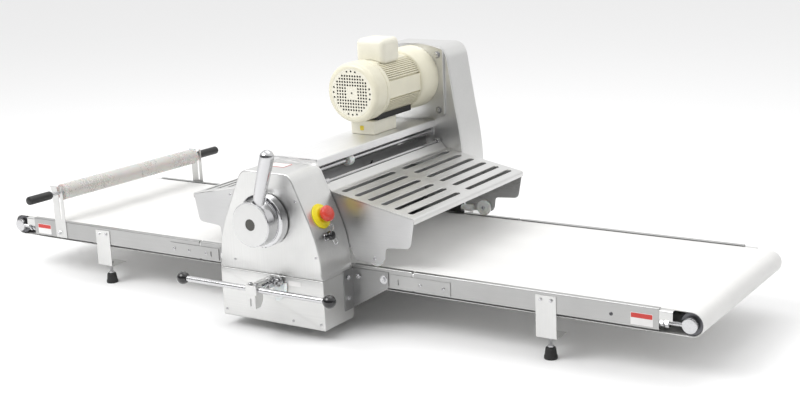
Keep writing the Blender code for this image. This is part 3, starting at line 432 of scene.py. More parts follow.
def lathe(name, profile, origin, axis, steps=56):
    """(radius, height) points turned about axis, with heights measured along it from origin."""
    bm = bmesh.new()
    points = [bm.verts.new((radius, 0, height)) for radius, height in profile]
    edges = [bm.edges.new(pair) for pair in zip(points, points[1:])]
    bmesh.ops.spin(bm, geom=points + edges, axis=(0, 0, 1), cent=(0, 0, 0), angle=2 * math.pi,
                   steps=steps, use_merge=True)
    bmesh.ops.remove_doubles(bm, verts=bm.verts, dist=1e-7)
    place = Matrix.Translation(origin) @ Vector(axis).to_track_quat("Z", "Y").to_matrix().to_4x4()
    bmesh.ops.transform(bm, matrix=place, verts=bm.verts)
    return from_bmesh(name, bm)


def bar(name, radius, start, end, edge=0.0005, steps=32):
    """A round bar with softened ends."""
    along = Vector(end) - Vector(start)
    length = along.length
    profile = [(0, length), (radius - edge, length), (radius, length - edge), (radius, edge),
               (radius - edge, 0), (0, 0)]
    return lathe(name, profile, start, along, steps)


def block(name, low, high, edge=0.001, segments=3):
    bm = bmesh.new()
    bmesh.ops.create_cube(bm, size=1.0)
    size = [high[i] - low[i] for i in range(3)]
    centre = [(high[i] + low[i]) / 2 for i in range(3)]
    bmesh.ops.transform(bm, matrix=Matrix.Translation(centre) @ Matrix.Diagonal((*size, 1)), verts=bm.verts)
    if edge:
        bmesh.ops.bevel(bm, geom=bm.edges[:], offset=edge, segments=segments, profile=0.5, affect="EDGES")
    return from_bmesh(name, bm)


def folded(name, section, low, high, thickness, plane="XZ", side=-1):
    """A folded sheet: an open section swept from low to high, then thickened."""
    bm = bmesh.new()
    turn = PLANES[plane]
    ends = []
    for distance in (low, high):
        shift = Vector((0, 0, 0))
        shift[ALONG[plane]] = distance
        ends.append([bm.verts.new(turn @ Vector((a, b, 0)) + shift) for a, b in section])
    for i in range(len(section) - 1):
        bm.faces.new((ends[0][i], ends[0][i + 1], ends[1][i + 1], ends[1][i]))
    mesh = bpy.data.meshes.new(name)
    bm.to_mesh(mesh)
    bm.free()
    obj = bpy.data.objects.new(name, mesh)
    bpy.context.scene.collection.objects.link(obj)
    sheet = obj.modifiers.new("sheet", "SOLIDIFY")
    sheet.thickness = thickness
    sheet.offset = side
    sheet.use_even_offset = True
    return settle(obj)


def soften(obj, width=0.0004, segments=2, angle=40):
    edge = obj.modifiers.new("edge", "BEVEL")
    edge.width = width
    edge.segments = segments
    edge.limit_method = "ANGLE"
    edge.angle_limit = math.radians(angle)
    edge.use_clamp_overlap = True
    return settle(obj)


def arc(centre, radius, start, end, steps=8):
    angles = [math.radians(start + (end - start) * i / steps) for i in range(steps + 1)]
    return [(centre[0] + radius * math.cos(a), centre[1] + radius * math.sin(a)) for a in angles]


def ring(centre, radius, steps=24):
    return arc(centre, radius, 0, 360 * (steps - 1) / steps, steps - 1)


def bend(first, corner, last, steps=10):
    points = []
    for i in range(steps + 1):
        t = i / steps
        weights = ((1 - t) ** 2, 2 * t * (1 - t), t ** 2)
        points.append(tuple(sum(w * p[k] for w, p in zip(weights, (first, corner, last))) for k in range(2)))
    return points


def rounded(points, radius, closed=False, steps=4):
    """The same outline with its corners rounded."""
    count = len(points)
    out = []
    for i, point in enumerate(points):
        if not closed and i in (0, count - 1):
            out.append(point)
            continue
        here = Vector(point)
        before = Vector(points[i - 1]) - here
        after = Vector(points[(i + 1) % count]) - here
        reach = min(radius, before.length * 0.45, after.length * 0.45)
        out += bend(tuple(here + before.normalized() * reach), point,
                    tuple(here + after.normalized() * reach), steps)
    return out


def mirrored(half):
    return half + [(-across, up) for across, up in reversed(half)]


def flip(outline, side):
    return [(side * across, up) for across, up in outline]


def stadium(centre, length, width, steps=8):
    reach = (length - width) / 2
    return (arc((centre[0], centre[1] + reach), width / 2, 0, 180, steps)
            + arc((centre[0], centre[1] - reach), width / 2, 180, 360, steps))


def loop_round(first, second, radius, steps=20):
    """A band round two equal wheels that lie side by side."""
    return arc(second, radius, -90, 90, steps) + arc(first, radius, 90, 270, steps)


def show(obj, material, body, nodes=(), slot=None, sharp=38):
    """Finishes a piece: shading, material, the body it rides on and the CAD nodes it stands for."""
    shade(obj, sharp)
    obj.data.materials.clear()
    obj.data.materials.append(material)
    obj.data.transform(Matrix.Translation((0, MID, 0)))
    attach(obj, body)
    if nodes:
        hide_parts(*nodes)
    slot = slot or (SLOTS[nodes[0]] if nodes else None)
    return obj


# ---------------------------------------------------------------- fasteners
def pan_head(radius):
    """A cross-recessed pan head that stands on Z = 0."""
    height = radius * 0.55
    profile = [(0, height)] + [(radius * math.sin(a), height * (0.35 + 0.65 * math.cos(a)))
                               for a in (math.radians(15 * i) for i in range(1, 7))] + [(radius, 0), (0, 0)]
    head = lathe("head", profile, (0, 0, 0), (0, 0, 1), 20)
    wide, narrow = radius * 0.55, radius * 0.14
    cross = [block("slot", (-a, -b, height * 0.45), (a, b, height * 1.5), 0) for a, b in
             ((wide, narrow), (narrow, wide))]
    return cut(head, *cross)


def hex_head(radius):
    """A chamfered hexagon head or nut with a thread end in its middle."""
    height = radius * 0.75
    bm = bmesh.new()
    bmesh.ops.create_cone(bm, cap_ends=True, segments=6, radius1=radius, radius2=radius, depth=height)
    bmesh.ops.translate(bm, vec=(0, 0, height / 2), verts=bm.verts)
    head = from_bmesh("hex", bm)
    limit = lathe("limit", [(0, height), (radius * 0.88, height), (radius * 1.05, height * 0.72),
                            (radius * 1.05, -0.001), (0, -0.001)], (0, 0, 0), (0, 0, 1), 24)
    boolean(head, "INTERSECT", [limit])
    end = lathe("end", [(0, height * 1.25), (radius * 0.42, height * 1.25), (radius * 0.5, height * 1.15),
                        (radius * 0.5, height * 0.5), (0, height * 0.5)], (0, 0, 0), (0, 0, 1), 16)
    return join(head, end)


def washer(radius):
    thick = 0.0012
    return lathe("washer", [(0, thick), (radius * 0.94, thick), (radius, thick * 0.6), (radius, 0), (0, 0)],
                 (0, 0, 0), (0, 0, 1), 24)


def fasteners(name, maker, size, places, body, material=TURNED):
    """Copies of one fastener at (point, outward direction) places, as one piece."""
    pattern = maker(size)
    bm = bmesh.new()
    for number, (point, outward) in enumerate(places):
        turn = Matrix.Rotation(math.radians(37 * number), 4, "Z")
        place = Matrix.Translation(point) @ Vector(outward).to_track_quat("Z", "Y").to_matrix().to_4x4() @ turn
        copy = pattern.data.copy()
        copy.transform(place)
        bm.from_mesh(copy)
        bpy.data.meshes.remove(copy)
    bpy.data.objects.remove(pattern)
    return show(from_bmesh(name, bm), material, body)


# ---------------------------------------------------------------- head covers
SKIN = 0.0015
FRONT_Y = box_of("front_housing")[0].y
COVER_Y = box_of("front_housing")[1].y
REAR_Y = box_of("rear_housing")[1].y
HALF = box_of("front_housing")[1].x
HEAD_TOP = box_of("front_housing")[1].z
REAR_TOP = box_of("rear_housing")[1].z
BASE_LOW, BASE_HIGH = box_of("base_cover_front")
PLATE_FRONT = box_of("side_plate_front")
PLATE_REAR = box_of("side_plate_rear")


def front_outline():
    half = [(HALF, BASE_HIGH.z + 0.0005), (HALF, 0.1510)]
    half += bend((HALF - 0.0012, 0.1570), (0.1478, 0.1600), (0.1475, 0.165), 4)
    half += bend((0.1475, 0.168), (0.1475, 0.225), (0.120, 0.285), 14)
    half += bend((0.080, 0.3724), (0.0705, HEAD_TOP), (0.050, HEAD_TOP), 10)
    return half


def rear_outline():
    low = box_of("rear_housing")[0].z
    half = [(0.146, low), (0.150, low + 0.004)]
    half += bend((0.150, 0.260), (0.150, 0.340), (0.131, 0.430), 12)
    half += bend((0.110, 0.562), (0.104, REAR_TOP), (0.072, REAR_TOP), 12)
    return half


def inset(outline, distance):
    """A closed outline, listed anticlockwise, moved inwards by distance."""
    count = len(outline)
    out = []
    for i in range(count):
        before = (Vector(outline[i]) - Vector(outline[i - 1])).normalized()
        after = (Vector(outline[(i + 1) % count]) - Vector(outline[i])).normalized()
        normal = Vector((-(before.y + after.y), before.x + after.x)).normalized()
        lean = max(0.35, normal.dot(Vector((-after.y, after.x))))
        out.append(tuple(Vector(outline[i]) + normal * distance / lean))
    return out


def cover(name, outline, face_y, open_y, radius, steps=4):
    """A pressed cover whose face turns into its wall through a rounded edge."""
    outward = 1 if face_y > open_y else -1
    rows = [(0.0, open_y)]
    for i in range(steps + 1):
        a = math.radians(90 * i / steps)
        rows.append((radius * (1 - math.cos(a)), face_y - outward * radius * (1 - math.sin(a))))
    bm = bmesh.new()
    loops = [[bm.verts.new((x, y, z)) for x, z in (inset(outline, depth) if depth else outline)]
             for depth, y in rows]
    count = len(outline)
    for low, high in zip(loops, loops[1:]):
        for i in range(count):
            k = (i + 1) % count
            bm.faces.new((low[i], low[k], high[k], high[i]))
    bm.faces.new(loops[-1])
    bmesh.ops.recalc_face_normals(bm, faces=bm.faces[:])
    face = max(bm.faces, key=lambda f: f.calc_area())
    if face.normal.y * outward < 0:
        bmesh.ops.reverse_faces(bm, faces=bm.faces[:])
    mesh = bpy.data.meshes.new(name)
    bm.to_mesh(mesh)
    bm.free()
    obj = bpy.data.objects.new(name, mesh)
    bpy.context.scene.collection.objects.link(obj)
    sheet = obj.modifiers.new("sheet", "SOLIDIFY")
    sheet.thickness = SKIN
    sheet.offset = -1
    return settle(obj)


def make_covers():
    front = cover("front_cover", mirrored(front_outline()), FRONT_Y, COVER_Y, 0.0035)
    dial = box_of("gap_dial")
    centre = (dial[0] + dial[1]) / 2
    cut(front, bar("dial_hole", 0.0125, (centre.x, FRONT_Y - 0.01, centre.z), (centre.x, FRONT_Y + 0.01, centre.z)))
    show(front, STEEL_Z, "frame", ["front_housing"])
    rear = cover("rear_cover", mirrored(rear_outline()), REAR_Y, box_of("rear_housing")[0].y, 0.006)
    show(rear, STEEL_Z, "frame", ["rear_housing"])

    low, high = BASE_LOW, BASE_HIGH
    outline = rounded([(high.x, low.z), (high.x, high.z), (-high.x, high.z), (-high.x, low.z)], 0.002, True, 3)
    notice = [(-0.034, -0.328), (0.014, -0.328), (0.014, -0.297), (-0.034, -0.297)]
    border = rounded([(x + math.copysign(0.0020, x + 0.01), y + math.copysign(0.0020, y + 0.31)) for x, y in notice],
                     0.004, True)
    show(plate("notice_border", [border], HEAD_TOP + 0.0001, HEAD_TOP + 0.0003, "XY", 0.0), LABEL_RED, "frame")
    show(plate("notice_sheet", [rounded(notice, 0.003, True)], HEAD_TOP + 0.0004, HEAD_TOP + 0.0006, "XY", 0.0),
         LABEL_WHITE, "frame")
    base = cover("base_cover", outline, low.y, high.y, 0.0025)
    shaft = box_of("shift_hub")
    shaft_x = 0.0
    shaft_z = (box_of("shift_bar")[0].z + box_of("shift_bar")[1].z) / 2
    cut(base, bar("shaft_hole", 0.0088, (shaft_x, low.y - 0.01, shaft_z), (shaft_x, low.y + 0.01, shaft_z)))
    show(base, STEEL_X, "frame", ["base_cover_front"])

    front_screws = [(-0.140, 0.042), (0.140, 0.042), (0.060, 0.040), (-0.104, 0.171), (0.136, 0.202),
                    (0.086, 0.331), (-0.106, 0.329)]
    fasteners("front_cover_screws", pan_head, 0.0034,
              [((x, FRONT_Y, z), (0, -1, 0)) for x, z in front_screws], "frame")
    rear_screws = [(x, z) for z in (0.060, 0.230, 0.400) for x in (-0.118, 0.118)] + [(-0.06, 0.575), (0.06, 0.575)]
    fasteners("rear_cover_screws", pan_head, 0.0036,
              [((x, REAR_Y, z), (0, 1, 0)) for x, z in rear_screws], "frame")


def plate_holes(side):
    """The shaft holes and slide window of a side plate."""
    press = box_of("lower_roller")
    low_z = (press[0].z + press[1].z) / 2
    press = box_of("upper_roller")
    high_z = (press[0].z + press[1].z) / 2
    drive = box_of("drive_roller_right")
    drive_x, drive_z = (drive[0].x + drive[1].x) / 2, (drive[0].z + drive[1].z) / 2
    window = rounded([(0.0225, high_z - 0.0405), (0.0225, high_z + 0.0405), (-0.0225, high_z + 0.0405),
                      (-0.0225, high_z - 0.0405)], 0.002, True, 2)
    return [ring((0, low_z), 0.0135), ring((-drive_x, drive_z), 0.0108), ring((drive_x, drive_z), 0.0108), window]


def make_side_plates():
    low, high = PLATE_FRONT
    outline = mirrored([(HALF - 0.001, low.z)] + front_outline())
    front = plate("side_plate_near", [outline] + plate_holes(-1), low.y, high.y, "XZ", 0.0006)
    show(front, STEEL_Z, "frame", ["side_plate_front"])
    low, high = PLATE_REAR
    motor = motor_axis()
    holes = plate_holes(1) + [ring(motor, 0.032, 40)]
    rear = plate("side_plate_far", [mirrored(rear_outline())] + holes, low.y, high.y, "XZ", 0.0006)
    show(rear, STEEL_Z, "frame", ["side_plate_rear"])


def make_base():
    low, high = box_of("base_tray")
    reach = high.y
    pan = folded("crumb_pan", rounded([(-0.060, 0.062), (-0.060, 0.0485), (0.060, 0.0485), (0.060, 0.062)], 0.003),
                 -reach, reach, 0.002, side=1)
    pieces = [pan]
    for side in (-1, 1):
        low_y, high_y = sorted((side * 0.2150, side * reach))
        section = rounded([(low_y, 0.0482), (low_y, 0.0300), (high_y, 0.0300), (high_y, 0.0482)], 0.003)
        pieces.append(folded("cross_bar", section, -0.110, 0.110, 0.002, "YZ", 1))
    show(merge("base_frame", *pieces), STEEL_X, "frame", ["base_tray"])
    feet = []
    for x in (-0.085, 0.085):
        for y in (-0.240, 0.240):
            profile = [(0, 0.0298), (0.015, 0.0298), (0.016, 0.028), (0.018, 0.004), (0.0165, 0.0), (0.006, 0.0),
                       (0.005, 0.004), (0, 0.004)]
            feet.append(lathe("base_foot", profile, (x, y, 0), (0, 0, 1), 32))
    show(merge("base_feet", *feet), RUBBER, "frame", slot="black_rubber")


def make_bridge():
    """The cover channel, its end flanges, and the rods and collar below it."""
    low, high = box_of("bridge_cover")
    half, top, reach = high.x, high.z, high.y
    section = rounded([(-half, top - 0.018), (-half, top), (half, top), (half, top - 0.018)], 0.004)
    channel = folded("bridge_sheet", section, -reach, reach, 0.002, side=-1)
    flanges = []
    for y in (-reach, reach):
        near, far = sorted((y, y * 0.9925))
        outline = rounded([(half - 0.003, low.z), (half - 0.003, top - 0.003), (0.003 - half, top - 0.003),
                           (0.003 - half, low.z)], 0.004, True, 3)
        flanges.append(plate("bridge_flange", [outline], near, far))
    show(merge("bridge", channel, *flanges), BRIDGE_STEEL, "frame", ["bridge_cover"])
    rods = [bar("tie_rod", 0.006, (x, -reach + 0.002, 0.372), (x, reach - 0.002, 0.372)) for x in (-0.052, 0.052)]
    rods += [bar("guide_rod", 0.0035, (x, -reach + 0.002, 0.352), (x, reach - 0.002, 0.352)) for x in (-0.040, 0.040)]
    show(merge("tie_rods", *rods), CHROME, "frame", slot="polished_steel")
    plates = []
    for x in (-0.047, 0.0455):
        flutes = []
        for i in range(72):
            flutes += [(x + 0.0015, -0.254 + 0.508 * i / 72), (x + 0.0004, -0.254 + 0.508 * (i + 0.5) / 72)]
        flutes += [(x, 0.254), (x, -0.254)]
        plates.append(plate("splash_plate", [flutes], 0.300, 0.361, "XY", 0.0))
    show(merge("splash_plates", *plates), SHADE_Y, "frame", slot="brushed_steel")
    strip = plate("stay", [rounded([(0.049, 0.322), (0.066, 0.352), (0.063, 0.354), (0.046, 0.326)], 0.001, True, 2)],
                  -0.034, -0.031)
    show(strip, BLACK, "frame", slot="black_plastic")
    collar = [(0.0063, 0.010), (0.0125, 0.010), (0.0140, 0.0085), (0.0140, -0.0085), (0.0125, -0.010),
              (0.0063, -0.010), (0.0063, 0.010)]
    show(lathe("rod_collar", collar, (0.052, -0.120, 0.372), (0, 1, 0), 40), NYLON, "frame", slot="white_nylon")
    for side, label in ((-1, "left"), (1, "right")):
        low, high = box_of("guard_rod_" + label)
        rod = bar("hinge_rod_" + label, 0.004, (side * 0.080, low.y, 0.348), (side * 0.080, high.y, 0.348))
        show(rod, CHROME, "frame", ["guard_rod_" + label])


# ---------------------------------------------------------------- rollers, carriage and scrapers
def roller(name, node, shaft, half, material, collar=None):
    """A roller with chamfered ends on its stepped shaft."""
    low, high = box_of(node)
    radius = (high.z - low.z) / 2
    centre_x, centre_z = (low.x + high.x) / 2, (low.z + high.z) / 2
    profile = [(0, high.y), (shaft - 0.001, high.y), (shaft, high.y - 0.001)]
    if collar:
        disc, inner, outer = collar
        profile += [(shaft, outer), (disc, outer), (disc, inner), (shaft, inner)]
    profile += [(shaft, half), (radius - 0.001, half), (radius, half - 0.001), (radius, 0.001 - half),
                (radius - 0.001, -half), (shaft, -half), (shaft, low.y + 0.001), (shaft - 0.001, low.y), (0, low.y)]
    show(lathe(name, profile, (centre_x, 0, centre_z), (0, 1, 0), 64), material, BODY_OF[node], [node])


def make_rollers():
    press_half, drive_half = 0.2545, 0.248
    roller("lower_press_roller", "lower_roller", 0.0125, press_half, GROUND, (0.026, 0.285, 0.291))
    roller("upper_press_roller", "upper_roller", 0.0125, press_half, GROUND)
    for label in ("left", "right"):
        roller("drive_drum_" + label, "drive_roller_" + label, 0.010, drive_half, GROUND, (0.020, 0.285, 0.291))
        low, high = box_of("end_roller_" + label)
        radius, centre = (high.z - low.z) / 2, (low + high) / 2
        tube = [(0.0108, high.y), (radius - 0.001, high.y), (radius, high.y - 0.001), (radius, low.y + 0.001),
                (radius - 0.001, low.y), (0.0108, low.y), (0.0108, high.y)]
        show(lathe("end_drum_" + label, tube, (centre.x, 0, centre.z), (0, 1, 0), 64), DARK_STEEL,
             "end_" + label, ["end_roller_" + label])


def keep(node, material):
    """A CAD node whose own shape stays, with a finished material."""
    obj = frame["nodes"][node]
    obj.data.materials.clear()
    obj.data.materials.append(material)


def make_kept():
    keep("roller_carriage", SHADE_Y)
    keep("lower_scrapers", SHADE_Y)
    keep("drive_belt", RUBBER)
    keep("drive_pulley", GROUND)
    keep("motor_rotor", DARK_STEEL)
    keep("cable_gland", BLACK)


# ---------------------------------------------------------------- motor
def motor_axis():
    low, high = box_of("motor_fan_cover")
    return (low.x + high.x) / 2, (low.z + high.z) / 2


def make_motor():
    x, z = motor_axis()
    low, high = box_of("motor_fan_cover")
    radius = (high.x - low.x) / 2
    face_radius = radius - 0.0150
    rim = [(face_radius, -low.y), (face_radius + 0.0012, -low.y + 0.0)]
    rim += [(radius - 0.0138 + 0.0138 * math.sin(a), -low.y - 0.0138 + 0.0138 * math.cos(a))
            for a in (math.radians(10 * i) for i in range(1, 10))]
    rim += [(radius, -high.y + 0.009), (radius - 0.0012, -high.y + 0.008), (radius - 0.0012, -high.y + 0.006),
            (radius, -high.y + 0.005), (radius, -high.y), (radius - 0.002, -high.y)]
    inner = [(r - 0.002, h - 0.0015) for r, h in reversed(rim[:-7])]
    shell = lathe("fan_cowl", rim + inner + [rim[0]], (x, 0, z), (0, -1, 0), 72)
    show(shell, CREAM, "frame", ["motor_fan_cover"], sharp=50)
    holes = []
    pitch, hole = 0.0078, 0.0028
    for row in range(12):
        for column in range(12):
            u, v = (column - 5.5) * pitch, (row - 5.5) * pitch
            blank = abs(u) < 2 * pitch and abs(v) < 2 * pitch
            if math.hypot(u, v) < 0.0515 and not blank:
                holes.append(ring((x + u, z + v), hole, 10))
    holes.append(ring((x, z), hole, 10))
    for quarter in range(4):
        for step in (-13.4, 0, 13.4):
            a = math.radians(90 * quarter + step)
            holes.append(ring((x + 0.0548 * math.cos(a), z + 0.0548 * math.sin(a)), hole, 10))
    face = plate("fan_grille", [ring((x, z), face_radius + 0.0006, 72)] + holes, low.y + 0.0002, low.y + 0.0016,
                 "XZ", 0.0)
    show(face, CREAM_PLASTIC, "frame", slot="cream_paint")
    show(lathe("fan_shadow", [(0, 0.0), (face_radius - 0.001, 0.0), (face_radius - 0.001, -0.002), (0, -0.002)],
               (x, low.y + 0.004, z), (0, -1, 0), 48), DARK, "frame", slot="black_plastic")
    make_stator(x, z)
    make_motor_boxes()


def stator_outline(x, z):
    """Flat pads at both sides and groups of fins above and below them."""
    root, tip, pad = 0.0655, 0.0712, 0.0690
    points = []
    quarter = [(pad / math.cos(math.radians(a)), a) for a in (0, 9, 17.5)]
    quarter += [(root, 18.5), (root, 20.5)]
    for i in range(9):
        middle = 23.0 + 4.6 * i
        quarter += [(root, middle - 1.5), (tip, middle - 1.0), (tip, middle + 1.0), (root, middle + 1.5)]
    quarter += [(tip, 66.0), (tip, 74.0), (tip, 82.0), (tip, 90.0)]
    half = quarter + [(radius, 180 - a) for radius, a in reversed(quarter[:-1])]
    for radius, a in half + [(radius, 360 - a) for radius, a in reversed(half[1:-1])]:
        points.append((x + radius * math.cos(math.radians(a)), z + radius * math.sin(math.radians(a))))
    return points


def make_stator(x, z):
    """Finned housing with smooth pads at its sides, end bell and mounting flange."""
    low, high = box_of("motor_body")
    body = plate("stator_fins", [stator_outline(x, z), ring((x, z), 0.030, 32)], 0.0325, 0.1965, "XZ", 0.0003)
    ring_front = lathe("front_joint", [(0.0300, 0.004), (0.0742, 0.004), (0.0748, 0.003), (0.0748, -0.004),
                                       (0.0300, -0.004), (0.0300, 0.004)], (x, 0.0365, z), (0, 1, 0), 64)
    bell = [(0.031, 0.0705), (0.0828, 0.0705), (0.0830, 0.052), (0.0824, 0.036), (0.0810, 0.022), (0.0788, 0.011),
            (0.0765, 0.004), (0.0740, 0.001), (0.0700, 0.0), (0.031, 0.0), (0.031, 0.0705)]
    end_bell = lathe("end_bell", bell, (x, 0.1900, z), (0, 1, 0), 72)
    show(merge("motor_housing", body, ring_front, end_bell), CREAM, "frame", ["motor_body"])
    front = 0.2572
    centre_x, centre_z, half, rise = 0.0125, 0.5045, 0.090, 0.0125
    right, left = centre_x + half, centre_x - half
    outline = arc((right - 0.010, centre_z - half + 0.010), 0.010, -90, 0, 6)
    outline += arc((right - 0.008, centre_z + half - 0.0085), 0.008, 0, 72, 6)
    outline += bend((right - 0.008, centre_z + half), (centre_x, centre_z + half + 2 * rise),
                    (left + 0.008, centre_z + half), 16)[1:-1]
    outline += arc((left + 0.008, centre_z + half - 0.0085), 0.008, 108, 180, 6)
    outline += arc((left + 0.010, centre_z - half + 0.010), 0.010, 180, 270, 6)
    flange = plate("motor_plate", [outline, ring((x, z), 0.032, 40)], front, high.y, "XZ", 0.0008)
    show(flange, SATIN, "frame", slot="brushed_steel")
    bolt = 0.0735
    places = [((centre_x + a * bolt, front, centre_z + b * bolt), (0, -1, 0)) for a in (-1, 1) for b in (-1, 1)]
    fasteners("motor_plate_washers", washer, 0.0095, places, "frame", SHADE_X)
    fasteners("motor_plate_bolts", hex_head, 0.0074, [((p[0], p[1] - 0.0012, p[2]), n) for p, n in places], "frame",
              CHROME)


def make_motor_boxes():
    low, high = box_of("motor_terminal_box")
    x, z = motor_axis()
    lid = block("terminal_box", low, high, 0.0150, 7)
    cut(lid, bar("stator_room", 0.0722, (x, 0, z), (x, 0.2, z), 0, 64))
    show(lid, CREAM_PLASTIC, "frame", ["motor_terminal_box"])
    # A black rubber pad on the support box, which also stands in as painted shade for the dark gap under the stator.
    pad_and_gap_shade = block("motor_pad_and_gap_shade", (x - 0.036, 0.036, 0.4404), (x + 0.036, 0.190, 0.4550), 0.0010)
    cut(pad_and_gap_shade, bar("stator_room", 0.0722, (x, 0, z), (x, 0.2, z), 0, 64))
    show(pad_and_gap_shade, RUBBER, "frame", slot="black_rubber")
    low, high = box_of("motor_support_box")
    show(block("support_box", low, high, 0.0035, 4), CREAM_PLASTIC, "frame", ["motor_support_box"])
    mark = rounded([(-0.008, 0.414), (0.004, 0.414), (0.004, 0.426), (-0.008, 0.426)], 0.003, True)
    show(plate("support_box_mark", [mark], low.y - 0.0004, low.y - 0.0001, "XZ", 0.0001), LABEL_YELLOW, "frame",
         slot="yellow_plastic")


# ---------------------------------------------------------------- controls
def make_gap_control():
    """Polished dial with its rim steps and cap, and the tapered lever that grows out of it."""
    low, high = box_of("gap_dial")
    x, z = (low.x + high.x) / 2, (low.z + high.z) / 2
    face = low.y
    disc = 0.053
    profile = [(0, 0.150), (0.020, 0.150), (0.020, 0.138), (0.010, 0.138), (0.010, 0.0615), (0.0615, 0.0615),
               (0.0628, 0.0605), (0.0630, 0.0590), (0.0630, 0.0400), (0.0622, 0.0385), (0.0575, 0.0375),
               (0.0560, 0.0365), (0.0560, 0.0335), (0.0540, 0.0328), (0.0540, 0.0318), (0.0553, 0.0310),
               (0.0553, 0.0200), (disc, 0.0100), (disc, 0.0020), (0.0520, 0.0008), (0.0505, 0.0006), (0, 0.0006)]
    dial = lathe("dial_disc", profile, (x, face, z), (0, 1, 0), 112)
    show(dial, CHROME, "gap_control", ["gap_dial"], sharp=25)
    front = [(0.0139, 0), (0.0498, 0), (0.0506, 0.0003), (0.0506, 0.0012), (0.0139, 0.0012), (0.0139, 0)]
    show(lathe("dial_face", [(r, -h) for r, h in front], (x, face, z), (0, -1, 0), 96), SATIN, "gap_control",
         slot="polished_steel")
    marks = [block("mark", (x - 0.0007 + 0.0085 * i, face + 0.0395, z - 0.0637), (x + 0.0007 + 0.0085 * i, face + 0.0560,
                   z - 0.0622 + 0.0012 * i * i), 0.0002, 1) for i in (0, 1)]
    show(merge("dial_marks", *marks), BLACK, "gap_control", slot="black_plastic")
    cap = [(0, 0.0), (0.0132, 0.0), (0.0137, -0.0002), (0.0137, -0.0008), (0, -0.0008)]
    show(lathe("dial_cap", cap, (x, face + 0.0003, z), (0, -1, 0), 48), CAP_GREY, "gap_control", slot="black_plastic")

    tip = box_of("gap_lever")
    tilt = math.radians(17)
    aim = Vector((math.sin(tilt), 0, math.cos(tilt)))
    length, ball = 0.167, 0.017
    top = [(ball * math.sin(math.radians(a)), length + ball * math.cos(math.radians(a))) for a in range(0, 91, 9)]
    root = [(0.0146, 0.085), (0.0138, 0.068), (0.0137, 0.060), (0.0145, 0.054), (0.0160, 0.050), (0.0165, 0.046)]
    profile = top + [(0.0168, length - 0.030), (0.0158, 0.115)] + root + [(0, 0.044)]
    lever = lathe("lever_bar", profile, (x, (tip[0].y + tip[1].y) / 2, z), aim, 56)
    show(lever, CHROME, "gap_control", ["gap_lever"], sharp=50)


def make_shift_control():
    bar_low, bar_high = box_of("shift_bar")
    y, z = (bar_low.y + bar_high.y) / 2, (bar_low.z + bar_high.z) / 2
    rod = bar("shift_rod", 0.0068, (bar_low.x, y, z), (bar_high.x, y, z), 0.001, 40)
    show(rod, TURNED, "shift_control", ["shift_bar"])
    for side, label in ((-1, "left"), (1, "right")):
        low, high = box_of("shift_ball_" + label)
        radius = (high.z - low.z) / 2
        centre = high.x - radius if side > 0 else low.x + radius
        ball = [(radius * math.sin(math.radians(a)), radius * math.cos(math.radians(a))) for a in range(0, 145, 8)]
        ball += [(0.0088, -radius * 0.87), (0, -radius * 0.87)]
        show(lathe("ball_knob_" + label, ball, (centre, y, z), (side, 0, 0), 48), BLACK, "shift_control",
             ["shift_ball_" + label])
    make_shift_hub(y, z)


